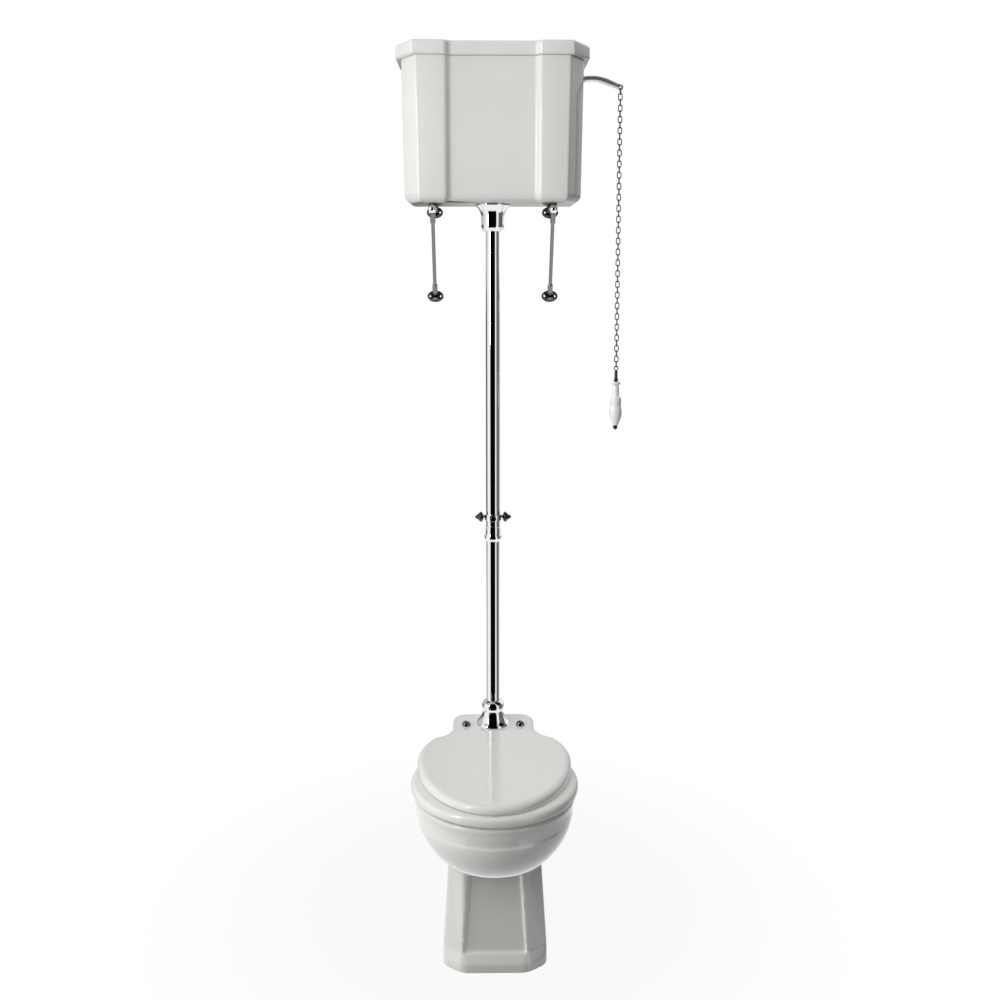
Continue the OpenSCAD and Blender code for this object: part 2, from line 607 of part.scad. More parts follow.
// Outline in plan, moved in by i: half-width, front, corner width and depth, back
function tank_plan(half_w, front, cw, cd, i, back) = let (p = panel_half_w, s = panel_sink,
        shift = tan(22.5) * i, side = half_w - i, bevel_x = half_w - cw - i * tan((90 - atan(cw / cd)) / 2),
        bevel_off = front - cd - i * tan(atan(cw / cd) / 2))
    [[-side, at(bevel_off)], [-bevel_x, at(front - i)], [-p - s - shift, at(front - i)],
     [-p - shift, at(front - s - i)], [p + shift, at(front - s - i)], [p + s + shift, at(front - i)],
     [bevel_x, at(front - i)], [side, at(bevel_off)], [side, at(back)], [-side, at(back)]];
function tank_half_w(z) = tank_w / 2 - tank_taper / 2 * (tank_top_z - z) / tank_h;
function tank_ring(z, i, back) = [z, tank_plan(tank_half_w(z), tank_d, corner_w, corner_d, i, back)];
lever_off = pipe_off;
lever_pivot_z = tank_top_z - lever_drop;
lever_pivot_x = tank_half_w(lever_pivot_z) - tank_t / 2;
inlet_x = -60;
inlet_z = tank_top_z - 47;
// The flat round the outlet hole, to which the tank's floor falls: [radius, angle]
outlet_seat = [for (p = [[42, 200], [42, 225], [42, 245], [42, 260], [42, 280], [42, 295], [42, 315],
    [42, 340],
    [60, 40], [60, 140]]) [p[0] * cos(p[1]), at(pipe_off) + p[0] * sin(p[1])]];
module cistern_tank() color(china_white) difference() {
    // up the outside, over the rim, which falls a little inwards, and down the inside to the floor
    loft(concat([for (t = [0:15:90]) tank_ring(tank_base_z + tank_edge_r * (1 - cos(t)),
        tank_edge_r * (1 - sin(t)), 0)],
        [tank_ring(tank_top_z - 2, 0, 0), tank_ring(tank_top_z, 1.5, 0), tank_ring(tank_top_z - 0.4,
            tank_t, tank_t)],
        [for (s = [[10, 0], [4.5, 3], [1.5, 10]])
            tank_ring(tank_base_z + tank_floor + s[0], tank_t + s[1], tank_t + s[1])],
        [[tank_base_z + tank_floor, outlet_seat]]));
    at_pipe(tank_base_z - 1) cylinder(r = outlet_hole_r, h = tank_floor + 2);
    translate([inlet_x, at(-1), inlet_z]) off_wall() cylinder(d = inlet_d + 1, h = tank_t + 2);
    on_both_sides(tank_hole_span / 2) translate([0, at(-1), tank_top_z - 45]) off_wall()
        cylinder(r = wall_hole_r, h = tank_t + 2);
    translate([lever_pivot_x - 20, at(lever_off), lever_pivot_z]) rotate([0, 90, 0])
        cylinder(r = lever_hole_r, h = 40);
}
function cover_ring(z, i, back) = [z, tank_plan(tank_w / 2 + cover_lip, tank_d + cover_nose, corner_w + 5.5,
    corner_d + 13, i, back)];
cover_z = tank_top_z + fit_gap;
cover_hollow = 20;
function rim_ring(z, i) = [cover_z + z, tank_plan(tank_w / 2, tank_d, corner_w, corner_d, i, i)];
// down the hollow's sides, round the locating lip, out over the tank's rim and up the outside
module cistern_lid() color(china_white) loft(concat(
    [rim_ring(cover_h - 12, cover_hollow + 4), rim_ring(cover_h - 16, cover_hollow), rim_ring(-12,
        cover_hollow),
        rim_ring(-12.4, tank_t + 3.5), rim_ring(0.4, tank_t + 3)],
    [for (s = [[0, 1.5], [2, 0], [cover_h - 9, 0], [cover_h - 4.5, 2.2], [cover_h - 2, 5],
        [cover_h - 0.3, 10]])
        cover_ring(cover_z + s[0], s[1], 0)]));

// ---------- brackets ----------
arm_z = tank_base_z - 15;
arm_r = arm_d / 2;
rose_z = arm_z - bracket_h;
rose_out = 9;
function oval(w, h) = [for (i = [0:31]) [w / 2 * cos(i * 11.25), h / 2 * sin(i * 11.25)]];
module rose_plate() off_wall() loft([[0.2, oval(rose_w, rose_h)], [2.5, oval(rose_w, rose_h)],
    [5, oval(rose_w - 5, rose_h - 5)], [7.5, oval(rose_w - 15, rose_h - 12)],
        [rose_out, oval(rose_w - 26, rose_h - 15)]]);
module rose_holes() on_both_sides(rose_hole_span / 2) off_wall() translate([0, 0, -1])
    cylinder(r = 2.2, h = 20);
module at_brackets() on_both_sides(bracket_span / 2) translate([0, setback, 0]) children();
cheek_t = 4;
eye_half = 3;
eye_r = 8;
pin_off = 20;
pin_r = 2.5;
pin_len = 19;
strut_end = 16;      // from the arm's end to the strut's top
boss_r = arm_r + 3;
collar_r = 6.5;
pad_len = 28;
pad_offs = [tank_t + 20, tank_t + 72];
module bracket_roses() color(bright_metal) at_brackets() {
    translate([0, 0, arm_z]) difference() {
        union() {
            rose_plate();
            off_wall() cylinder(r = boss_r, h = 14);
        }
        rose_holes();
        off_wall() translate([0, 0, 3]) cylinder(r = arm_r + 0.1, h = 20);
    }
    translate([0, 0, rose_z]) difference() {
        union() {
            rose_plate();
            for (side = [-1, 1]) translate([side * (eye_half + 0.3 + cheek_t / 2) - cheek_t / 2, 0, 0]) {
                translate([0, -pin_off, -eye_r]) cube([cheek_t, pin_off - 3, 2 * eye_r]);
                translate([0, -pin_off, 0]) rotate([0, 90, 0]) cylinder(r = eye_r, h = cheek_t);
            }
        }
        rose_holes();
        translate([-20, -pin_off, 0]) rotate([0, 90, 0]) cylinder(r = pin_r + run_gap, h = 40);
    }
}
module bracket_arms() color(bright_metal) at_brackets() translate([0, 0, arm_z]) {
    off_wall() translate([0, 0, 3.3]) cylinder(r = arm_r, h = arm_len - 9);
    translate([0, 2 - arm_len, 0.8]) sphere(r = 10.5);
}
strut_top = [0, strut_end - arm_len, arm_z];
strut_foot = [0, -pin_off, rose_z];
strut_lean = atan((arm_len - strut_end - pin_off) / bracket_h);
strut_len = norm(strut_top - strut_foot);
module bracket_struts() color(bright_metal) at_brackets() difference() {
    union() {
        translate(strut_foot) rotate([strut_lean, 0, 0]) {
            translate([0, 0, 5]) cylinder(d = strut_d, h = strut_len - 8);
            translate([0, 0, 9]) turned([[0, 0], [4, 0], [collar_r, 3], [collar_r, 25],
                [strut_d / 2, 28], [0, 28]]);
            translate([0, 0, strut_len - 38]) turned([[0, 0], [strut_d / 2, 0], [collar_r, 3],
                [collar_r, 30], [0, 30]]);
        }
        translate(strut_foot) translate([-eye_half, 0, 0]) rotate([0, 90, 0])
            cylinder(r = eye_r, h = 2 * eye_half);
        translate(strut_top) translate([0, 10.5, 0]) off_wall() cylinder(r = boss_r, h = 15);
    }
    translate(strut_foot) translate([-20, 0, 0]) rotate([0, 90, 0]) cylinder(r = pin_r + run_gap, h = 40);
    translate(strut_top) translate([0, 20, 0]) off_wall() cylinder(r = arm_r + run_gap, h = 40);
    for (side = [-1, 1]) translate([side * (eye_half + 5) - 5, -pin_off - eye_r - 1, rose_z - eye_r - 1])
        cube([10, 2 * eye_r + 2, 2 * eye_r + 2]);
}
module bracket_pins() color(bright_metal) at_brackets()
    translate([-pin_len / 2, -pin_off, rose_z]) rotate([0, 90, 0]) cylinder(r = pin_r, h = pin_len);
module bracket_pads() color(black_rubber) at_brackets() for (off = pad_offs) difference() {
    translate([-10, -off - pad_len, arm_z - 2]) cube([20, pad_len, tank_base_z - fit_gap - arm_z + 2]);
    translate([0, 0, arm_z]) off_wall() cylinder(r = arm_r + run_gap, h = arm_len);
}

// ---------- siphon ----------
leg_r = siphon_leg_d / 2;
leg_t = 3;
bend_z = tank_base_z + 151;
bend_r = siphon_span / 2;
shoulder_z = tank_base_z + tank_floor + 3.3;
chamber_z = tank_base_z + 22;
chamber_h = 82;
plate_z = chamber_z + 10;
rod_eye_z = bend_z + 80;
module siphon_washer() color(black_rubber) at_pipe(tank_base_z + tank_floor + fit_gap)
    collar(33, tail_r + 0.1, shoulder_z - tank_base_z - tank_floor - 2 * fit_gap);
module siphon_shape(grow, extra) {
    at_pipe(tank_base_z - tail_drop - extra)
        cylinder(r = leg_r + grow, h = bend_z - tank_base_z + tail_drop + extra);
    translate([siphon_span / 2, at(pipe_off), bend_z]) rotate([90, 0, 0])
        rotate_extrude(angle = 180) translate([bend_r, 0]) circle(r = leg_r + grow);
    translate([siphon_span, at(pipe_off), chamber_z + chamber_h - 5 - extra])
        cylinder(r = leg_r + grow, h = bend_z - chamber_z - chamber_h + 5 + extra);
}
module siphon_body() color(white_plastic) difference() {
    union() {
        siphon_shape(0, 0);
        at_pipe(tank_base_z - tail_drop) cylinder(r = tail_r, h = shoulder_z - tank_base_z + tail_drop);
        at_pipe(shoulder_z) cylinder(r = 34, h = 6);
        translate([siphon_span, at(pipe_off), chamber_z]) cylinder(d = chamber_d, h = chamber_h);
        translate([siphon_span, at(pipe_off), bend_z + leg_r]) cylinder(r = 8, h = 36);
    }
    siphon_shape(-leg_t, 10);
    translate([siphon_span, at(pipe_off), chamber_z - 1]) cylinder(d = chamber_d - 2 * leg_t,
        h = chamber_h - 7);
    translate([siphon_span, at(pipe_off), bend_z]) cylinder(r = 3 + run_gap, h = 100);
}
module at_rod(z) translate([siphon_span, at(pipe_off), z]) children();
module siphon_plunger() color(yellow_brass) difference() {
    union() {
        at_rod(plate_z) cylinder(r = 48, h = 3);
        at_rod(plate_z) cylinder(r = 8, h = 8);
        at_rod(plate_z) cylinder(r = 3, h = rod_eye_z - plate_z - 4);
        translate([siphon_span, at(pipe_off) - 2, rod_eye_z]) rotate([-90, 0, 0]) cylinder(r = 7, h = 4);
    }
    translate([siphon_span, at(pipe_off) - 5, rod_eye_z]) rotate([-90, 0, 0]) cylinder(r = 3.5, h = 10);
    for (a = [0:60:300]) at_rod(plate_z - 1) rotate([0, 0, a]) translate([28, 0, 0])
        cylinder(r = 10, h = 5);
}
module siphon_diaphragm() color(black_rubber) at_rod(plate_z + 3 + fit_gap) collar(47.5, 8.3, 1);

// ---------- lever ----------
lever_r = lever_d / 2;
lever_pin_r = 2;
inner_eye_hole_r = 4.2;
outer_eye_hole_r = 3;
inner_arm = lever_pivot_x - siphon_span;
rise = 8.1;         // slope of the lever at its pivot
fall = 21.8;        // slope of its outer part, downwards
elbow_run = 36.5 + tank_t / 2;
elbow_r = 20;
inner_eye_z = lever_pivot_z - inner_arm * tan(rise);
elbow = [lever_pivot_x + elbow_run, lever_pivot_z + elbow_run * tan(rise)];
tip_x = tank_half_w(lever_pivot_z) + lever_reach;
tip_z = elbow[1] - (tip_x - elbow[0]) * tan(fall);
elbow_cut = elbow_r * tan((rise + fall) / 2);
// Drawn standing in the plane of the lever, x and height
module in_lever_plane() translate([0, at(lever_off), 0]) rotate([90, 0, 0]) children();
module lever_eye(x, z, r, t) translate([x, z, -t / 2]) cylinder(r = r, h = t);
// A shade thinner than the elbow, so that its ends can run into it
module lever_rod(from, to) translate([from, 0, 0]) rotate([0, 90, 0])
    cylinder(r = lever_r - 0.05, h = to - from);
module pull_lever() color(bright_metal) in_lever_plane() {
    turn = rise + fall;
    start = elbow - elbow_cut * [cos(rise), sin(rise)];
    difference() {
        union() {
            // straight inner arm, elbow, and outer arm, from the elbow's start
            translate(start) rotate([0, 0, rise]) {
                lever_rod((siphon_span - start[0]) / cos(rise), 1);
                translate([0, -elbow_r, 0]) rotate([0, 0, 90 - turn])
                    rotate_extrude(angle = turn) translate([elbow_r, 0]) circle(r = lever_r);
                translate([0, -elbow_r, 0]) rotate([0, 0, -turn]) translate([0, elbow_r, 0])
                    lever_rod(-1, (tip_x - elbow[0]) / cos(fall) - elbow_cut);
            }
            lever_eye(siphon_span, inner_eye_z, 8, 4);
            lever_eye(tip_x, tip_z, 6.5, 4.6);
        }
        lever_eye(siphon_span, inner_eye_z, inner_eye_hole_r, 30);
        lever_eye(tip_x, tip_z, outer_eye_hole_r, 30);
        lever_eye(lever_pivot_x, lever_pivot_z, lever_pin_r + run_gap, 30);
        // flats beside both eyes
        for (side = [-1, 1]) {
            translate([siphon_span - 10, inner_eye_z - 12, side * 6 - 4]) cube([22, 24, 8]);
            translate([tip_x - 11, tip_z - 12, side * 6.3 - 4]) cube([30, 24, 8]);
        }
    }
}
bush_r = lever_hole_r - 0.2;
bush_bore = 8.5;
module at_bush(x) translate([x, at(lever_off), lever_pivot_z]) rotate([0, 90, 0]) children();
module lever_bush() color(bright_metal) difference() {
    union() {
        at_bush(lever_pivot_x - 11) cylinder(r = bush_r, h = 17);
        at_bush(lever_pivot_x + tank_t / 2 + 0.8) cylinder(r = 16, h = 2);
    }
    at_bush(lever_pivot_x - 20) cylinder(r = bush_bore, h = 40);
    in_lever_plane() lever_eye(lever_pivot_x, lever_pivot_z, lever_pin_r + 0.02, 60);
}
module lever_bush_nut() color(yellow_brass) difference() {
    at_bush(lever_pivot_x - 10.5) cylinder(r = 19, h = 4.7, $fn = 6);
    at_bush(lever_pivot_x - 20) cylinder(r = bush_r + run_gap, h = 40);
}
module lever_pin() color(yellow_brass) in_lever_plane() lever_eye(lever_pivot_x, lever_pivot_z,
    lever_pin_r, 25.8);
link_top_z = inner_eye_z - 1.4;
link_low_z = rod_eye_z + 1.4;
link_r = 9;
// An oval wire loop in the plane x = 0, with its crowns' wire at both heights
module wire_loop(low, top, r, wire) {
    for (end = [[top - r, 0], [low + r, 180]]) translate([0, 0, end[0]]) rotate([90, 0, 90])
        rotate([0, 0, end[1]])
        rotate_extrude(angle = 180, $fn = 32) translate([r, 0]) circle(r = wire, $fn = 24);
    for (side = [-1, 1]) translate([0, side * r, low + r]) cylinder(r = wire, h = top - low - 2 * r,
        $fn = 24);
}
module lift_link() color(yellow_brass) translate([siphon_span, at(lever_off), 0])
    wire_loop(link_low_z, link_top_z, link_r, 1.5);

// ---------- water inlet ----------
inlet_out = 25;      // how far the threaded tail stands out behind the tank
fulcrum_pin_r = 2;
arm_rod_r = 3;
inlet_tail = 10;     // where the tail beyond the back nut begins
fulcrum_x = inlet_x - 12;
fulcrum_z = inlet_z - 27;
module inlet_valve() color(yellow_brass) difference() {
    union() {
        translate([inlet_x, at(-inlet_out), inlet_z]) off_wall()
            cylinder(d = inlet_d, h = inlet_out + tank_t + 4);
        translate([inlet_x, at(tank_t + 4), inlet_z]) off_wall() cylinder(r = 17, h = 5);
        translate([inlet_x, at(tank_t + 8), inlet_z]) off_wall() cylinder(r = 9, h = pipe_off - tank_t - 8);
        translate([inlet_x - 22, at(pipe_off), inlet_z]) rotate([0, 90, 0]) cylinder(r = 13, h = 42);
        for (side = [-1, 1]) translate([fulcrum_x - 7, at(pipe_off) + side * 8 - 2, fulcrum_z - 7])
            cube([14, 4, inlet_z - fulcrum_z]);
    }
    translate([inlet_x, at(-inlet_out - 1), inlet_z]) off_wall() cylinder(r = 6, h = pipe_off + 20);
    translate([inlet_x, at(-inlet_tail), inlet_z]) off_wall() collar(inlet_d, inlet_d / 2 - 1.2, 2);
    translate([inlet_x - 23, at(pipe_off), inlet_z]) rotate([0, 90, 0]) cylinder(r = 9, h = 38);
    translate([fulcrum_x, at(pipe_off) - 20, fulcrum_z]) rotate([-90, 0, 0])
        cylinder(r = fulcrum_pin_r + 0.02, h = 40);
}
module inlet_washer() color(black_rubber) translate([inlet_x, at(tank_t + fit_gap), inlet_z]) off_wall()
    collar(17, inlet_d / 2 + 0.05, 3.4);
module inlet_back_nut() color(yellow_brass) translate([inlet_x, at(-fit_gap), inlet_z]) rotate([-90, 0, 0])
    difference() {
        cylinder(r = 17, h = 7, $fn = 6);
        translate([0, 0, -1]) cylinder(d = inlet_d + 0.1, h = 10);
    }
module float_pin() color(yellow_brass) translate([fulcrum_x, at(pipe_off) - 11, fulcrum_z])
    rotate([-90, 0, 0])
    cylinder(r = fulcrum_pin_r, h = 22);
module float_arm() color(yellow_brass) difference() {
    union() {
        translate([fulcrum_x, at(pipe_off) - 5.5, fulcrum_z]) rotate([-90, 0, 0]) cylinder(r = 6, h = 11);
        translate([fulcrum_x - float_reach + float_d / 2 - 8, at(pipe_off), fulcrum_z]) rotate([0, 90, 0])
            cylinder(r = arm_rod_r, h = float_reach - float_d / 2 + 4);
        translate([fulcrum_x - 3, at(pipe_off) - 4, fulcrum_z + 3]) cube([6, 8, 9]);
    }
    translate([fulcrum_x, at(pipe_off) - 20, fulcrum_z]) rotate([-90, 0, 0])
        cylinder(r = fulcrum_pin_r + run_gap, h = 40);
}
module float_ball() color(white_plastic) difference() {
    translate([fulcrum_x - float_reach, at(pipe_off), fulcrum_z]) sphere(d = float_d);
    translate([fulcrum_x - float_reach + float_d / 2 - 8.3, at(pipe_off), fulcrum_z]) rotate([0, 90, 0])
        cylinder(r = arm_rod_r + fit_gap, h = 20);
}

// ---------- chain and pull ----------
ring_r = 8;
crown_gap = 0.3;
pitch = link_len - 2 * wire_d - crown_gap;
ring_crown_z = tip_z - 1;
chain_top_z = ring_crown_z - 2 * ring_r + wire_d + crown_gap;
crown_r = (link_w - wire_d) / 2;
crown_span = link_len - wire_d;
module at_chain(z) translate([tip_x, at(lever_off), z]) children();
module chain_link(n) at_chain(chain_top_z - n * pitch) rotate([0, 0, n % 2 == 0 ? 90 : 0])
    wire_loop(-crown_span, 0, crown_r, wire_d / 2);
module chain_ring() color(bright_metal) at_chain(ring_crown_z - ring_r) rotate([90, 0, 90])
    rotate_extrude($fn = 48) translate([ring_r, 0]) circle(r = wire_d / 2, $fn = 24);
module chain_upper() color(bright_metal) for (n = [0:links_upper - 1]) chain_link(n);
module chain_lower() color(bright_metal) for (n = [links_upper:links_upper + links_lower - 1])
    chain_link(n);
shank_crown_z = chain_top_z - (links_upper + links_lower) * pitch;
handle_top_z = shank_crown_z - 39;
shank_eye_r = 5;
module pull_shank() color(bright_metal) at_chain(0) {
    translate([0, 0, shank_crown_z - shank_eye_r]) rotate([90, 0, 0])
        rotate_extrude($fn = 48) translate([shank_eye_r, 0]) circle(r = wire_d / 2, $fn = 24);
    translate([0, 0, shank_crown_z]) turned([[0, -9.6], [2.2, -10.2], [4, -13], [4, -30], [5.5, -32],
        [5.5, -38.7],
        [2.5, -38.7], [2.5, -39 - handle_len - 7], [0, -39 - handle_len - 7]]);
}
module pull_handle() color(china_white) at_chain(handle_top_z) difference() {
    r = handle_d / 2;
    turned([[0, 0], [10.5, 0], [11.5, -2], [11.5, -7], [9, -9], [8, -11.5], [9, -12.5], [10.5, -15],
        [10.5, -22],
        [9, -25], [8.8, -40], [10, -42], [13.2, -43], [13.5, -46], [13.5, -64], [13, -67], [13, -69],
            [15, -72],
        [r, -78], [r, -84], [15, -90], [13, -97], [10.5, -104], [8, 3 - handle_len], [7, -handle_len],
        [0, -handle_len]]);
    translate([0, 0, -handle_len - 5]) cylinder(r = 2.6, h = handle_len + 10);
}
module pull_nut() color(bright_metal) at_chain(handle_top_z - handle_len - fit_gap) difference() {
    turned([[0, 0], [5.5, 0], [5.8, -2], [5.8, -6], [4.5, -9], [2, -11], [0, -11.5]]);
    translate([0, 0, -7.3]) cylinder(r = 2.55, h = 10);
}

pan_rim();
pan_bowl();
pan_sump();
pan_trap();
pan_outlet();
pan_foot();
pan_neck();
shelf_hole_caps();
seat_ring();
seat_ring_buffers();
seat_ring_hinges();
seat_lid();
seat_lid_buffers();
seat_lid_hinges();
hinge_pillars();
hinge_bar();
seat_bolts();
seat_bolt_washers();
seat_wing_nuts();
flush_cone();
bell_cover();
lower_flush_pipe();
joint_seal();
upper_flush_pipe();
pipe_clip();
clip_finials();
clip_front_screw();
outlet_nut();
pipe_olive();
siphon_back_nut();
cistern_tank();
cistern_lid();
bracket_roses();
bracket_arms();
bracket_struts();
bracket_pins();
bracket_pads();
siphon_washer();
siphon_body();
siphon_plunger();
siphon_diaphragm();
lift_link();
lever_bush();
lever_bush_nut();
lever_pin();
pull_lever();
inlet_valve();
inlet_washer();
inlet_back_nut();
float_pin();
float_arm();
float_ball();
chain_ring();
chain_upper();
chain_lower();
pull_shank();
pull_handle();
pull_nut();
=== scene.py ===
import math

import bmesh
import bpy
from mathutils import Matrix, Vector


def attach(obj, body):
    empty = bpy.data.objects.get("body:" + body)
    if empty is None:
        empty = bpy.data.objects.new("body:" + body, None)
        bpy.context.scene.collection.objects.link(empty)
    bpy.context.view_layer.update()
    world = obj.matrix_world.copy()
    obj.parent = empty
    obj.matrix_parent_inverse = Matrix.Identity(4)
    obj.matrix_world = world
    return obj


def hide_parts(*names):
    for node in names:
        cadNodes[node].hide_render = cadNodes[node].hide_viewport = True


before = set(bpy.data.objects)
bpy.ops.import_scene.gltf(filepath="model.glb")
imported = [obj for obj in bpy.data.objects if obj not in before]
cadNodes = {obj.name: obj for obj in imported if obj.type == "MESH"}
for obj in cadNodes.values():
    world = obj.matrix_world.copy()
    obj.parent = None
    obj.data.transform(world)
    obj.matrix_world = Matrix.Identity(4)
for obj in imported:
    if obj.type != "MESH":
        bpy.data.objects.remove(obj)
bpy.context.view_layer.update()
scene = bpy.context.scene
scene.view_settings.view_transform = "Standard"
print("frame loaded:", len(cadNodes), "nodes")

# camera: at eye height, two metres in front of the pan
cameraSetup = {"place": (-0.022, -2.625, 1.579), "down": 8.5, "right": 0.82, "lens": 39.6, "film": 36,
               "shiftY": -0.06}


def addCamera(setup):
    data = bpy.data.cameras.new("camera")
    data.lens = setup["lens"]
    data.sensor_width = setup["film"]
    data.shift_y = setup["shiftY"]
    data.clip_start = 0.05
    data.clip_end = 50
    camera = bpy.data.objects.new("camera", data)
    camera.location = setup["place"]
    camera.rotation_euler = (math.radians(90 - setup["down"]), 0, math.radians(-setup["right"]))
    scene.collection.objects.link(camera)
    scene.camera = camera


addCamera(cameraSetup)


class Wire:
    # one socket of a node tree, so that shader maths reads as plain sums
    def __init__(self, graph, socket):
        self.graph = graph
        self.socket = socket

    def maths(self, operation, *values):
        return self.graph.node("ShaderNodeMath", {"operation": operation}, dict(enumerate(values)))

    def __add__(self, other):
        return self.maths("ADD", self, other)

    def __radd__(self, other):
        return self.maths("ADD", other, self)

    def __sub__(self, other):
        return self.maths("SUBTRACT", self, other)

    def __rsub__(self, other):
        return self.maths("SUBTRACT", other, self)

    def __mul__(self, other):
        return self.maths("MULTIPLY", self, other)

    def __rmul__(self, other):
        return self.maths("MULTIPLY", other, self)

    def __neg__(self):
        return self.maths("MULTIPLY", self, -1)

    def clamped(self):
        return self.maths("MAXIMUM", self.maths("MINIMUM", self, 1), 0)

    def step(self, low, high):
        # 0 below low, 1 above high, soft in between
        ends = {"From Min": low, "From Max": high, "Value": self}
        return self.graph.node("ShaderNodeMapRange", {"interpolation_type": "SMOOTHSTEP"}, ends)


class Graph:
    # the node tree of one finish, of the floor or of the studio
    def __init__(self, tree):
        self.tree = tree
        tree.nodes.clear()

    def node(self, kind, settings=None, inputs=None, output=0):
        # output is a socket's name or number
        made = self.tree.nodes.new(kind)
        for name, value in (settings or {}).items():
            setattr(made, name, value)
        for name, value in (inputs or {}).items():
            socket = made.inputs[name]
            if isinstance(value, Wire):
                self.tree.links.new(value.socket, socket)
            elif isinstance(value, tuple) and len(value) == 3 and socket.type == "RGBA":
                socket.default_value = (*value, 1)
            else:
                socket.default_value = value
        return Wire(self, made.outputs[output])

    def place(self):
        return self.node("ShaderNodeTexCoord", output="Object")

    def stretched(self, scale, turn=(0, 0, 0)):
        inputs = {"Vector": self.place(), "Scale": scale, "Rotation": turn}
        return self.node("ShaderNodeMapping", {}, inputs)

    def noise(self, scale, detail=2.0, roughness=0.5, vector=None):
        inputs = {"Vector": vector or self.place(), "Scale": scale, "Detail": detail, "Roughness": roughness}
        return self.node("ShaderNodeTexNoise", {}, inputs)

    def cells(self, scale):
        # the distance to the nearest of many scattered points
        return self.node("ShaderNodeTexVoronoi", {"feature": "F1"}, {"Vector": self.place(), "Scale": scale})

    def mixed(self, factor, first, second):
        inputs = {0: factor, 6: first, 7: second}
        return self.node("ShaderNodeMix", {"data_type": "RGBA"}, inputs, output=2)

    def bump(self, height, strength, distance, under=None):
        inputs = {"Height": height, "Strength": strength, "Distance": distance}
        if under is not None:
            inputs["Normal"] = under
        return self.node("ShaderNodeBump", {}, inputs)

    def surface(self, shader, target="ShaderNodeOutputMaterial"):
        end = self.tree.nodes.new(target)
        self.tree.links.new(shader.socket, end.inputs["Surface"])

    def coated(self, inputs):
        self.surface(self.node("ShaderNodeBsdfPrincipled", {}, inputs))


def newFinish(name):
    material = bpy.data.materials.new(name)
    material.use_nodes = True
    return material, Graph(material.node_tree)


# china: fired white glaze, a little pooled and wavy, with sparse specks
chinaLook = {"colour": (0.80, 0.797, 0.772), "pooled": (0.765, 0.762, 0.735), "speck": (0.45, 0.43, 0.38),
             "roughness": 0.10, "wave": 0.0006, "peel": 0.00006}
handleLook = {**chinaLook, "colour": (0.97, 0.97, 0.96), "pooled": (0.95, 0.95, 0.94),
              "speck": (0.85, 0.85, 0.83), "wave": 0.0001, "peel": 0.00001}


def chinaFinish(name, look):
    material, graph = newFinish(name)
    pools = graph.noise(5.5, 3.0, 0.55).step(0.35, 0.7)
    sparse = graph.noise(31.0, 1.0).step(0.60, 0.66)
    specks = (1 - graph.cells(95.0).step(0.028, 0.055)) * sparse * 0.5
    colour = graph.mixed(pools * 0.6, look["colour"], look["pooled"])
    wave = graph.bump(graph.noise(9.0, 1.5, 0.4), 0.5, look["wave"])
    graph.coated({
        "Base Color": graph.mixed(specks, colour, look["speck"]),
        "Roughness": look["roughness"] + 0.05 * graph.noise(14.0, 3.0, 0.6),
        "Normal": graph.bump(graph.noise(210.0, 2.0, 0.5), 0.35, look["peel"], wave),
        "IOR": 1.5, "Coat Weight": 0.35, "Coat Roughness": 0.03, "Coat IOR": 1.5})
    return material


# seat: sprayed lacquer, flatter than the china, with faint wiping marks
lacquerLook = {"colour": (0.80, 0.797, 0.772), "worn": (0.775, 0.772, 0.745), "roughness": 0.13}


def lacquerFinish(name, look):
    material, graph = newFinish(name)
    cloudy = graph.noise(4.0, 2.0, 0.5).step(0.3, 0.75)
    wipes = graph.noise(1.0, 4.0, 0.65, graph.stretched((22.0, 160.0, 40.0), (0, 0, 0.5)))
    sag = graph.bump(graph.noise(7.0, 1.0, 0.4), 0.4, 0.0004)
    graph.coated({
        "Base Color": graph.mixed(cloudy * 0.5, look["colour"], look["worn"]),
        "Roughness": look["roughness"] + 0.07 * wipes.step(0.45, 0.75),
        "Normal": graph.bump(graph.noise(330.0, 1.0, 0.5), 0.25, 0.00004, sag),
        "IOR": 1.48, "Coat Weight": 0.25, "Coat Roughness": 0.05})
    return material


# chrome plate: bright, with polishing ripples and a few dull water spots
chromeLook = {"colour": (0.86, 0.87, 0.88), "dull": (0.70, 0.71, 0.72), "roughness": 0.025, "coat": 0.0}
# the small pieces: chrome with a painted dark reflection, its colour painted near black as if it mirrored the
# dark of the room more than its white
fittingPaintedDarkLook = {"colour": (0.03, 0.03, 0.032), "dull": (0.05, 0.05, 0.052), "roughness": 0.04, "coat": 1.0}
# the chain: chrome with a painted dark reflection, its colour painted dark grey
chainPaintedDarkLook = {"colour": (0.13, 0.13, 0.135), "dull": (0.10, 0.10, 0.105), "roughness": 0.12, "coat": 0.4}
# the bracket struts and shelf caps: chrome with a painted dark reflection, its colour painted dark grey
strutPaintedDarkLook = {"colour": (0.20, 0.20, 0.205), "dull": (0.14, 0.14, 0.145), "roughness": 0.05, "coat": 1.0}
leverLook = {"colour": (0.86, 0.86, 0.865), "dull": (0.78, 0.78, 0.785), "roughness": 0.42, "coat": 0.0}


def chromeFinish(name, look):
    material, graph = newFinish(name)
    film = graph.noise(34.0, 4.0, 0.6).step(0.55, 0.8)
    spots = (1 - graph.cells(160.0).step(0.10, 0.22)) * graph.noise(47.0, 1.0).step(0.56, 0.62)
    graph.coated({
        "Base Color": graph.mixed((0.4 * film + 0.3 * spots).clamped(), look["colour"], look["dull"]),
        "Metallic": 1.0, "Roughness": look["roughness"] + 0.02 * film + 0.02 * spots,
        "Normal": graph.bump(graph.noise(60.0, 1.0, 0.4), 0.1, 0.00005),
        "Coat Weight": look["coat"], "Coat Roughness": 0.03})
    return material


# brass of the works: bare, tarnished in patches
brassLook = {"colour": (0.66, 0.47, 0.20), "tarnish": (0.24, 0.15, 0.07), "roughness": 0.28}


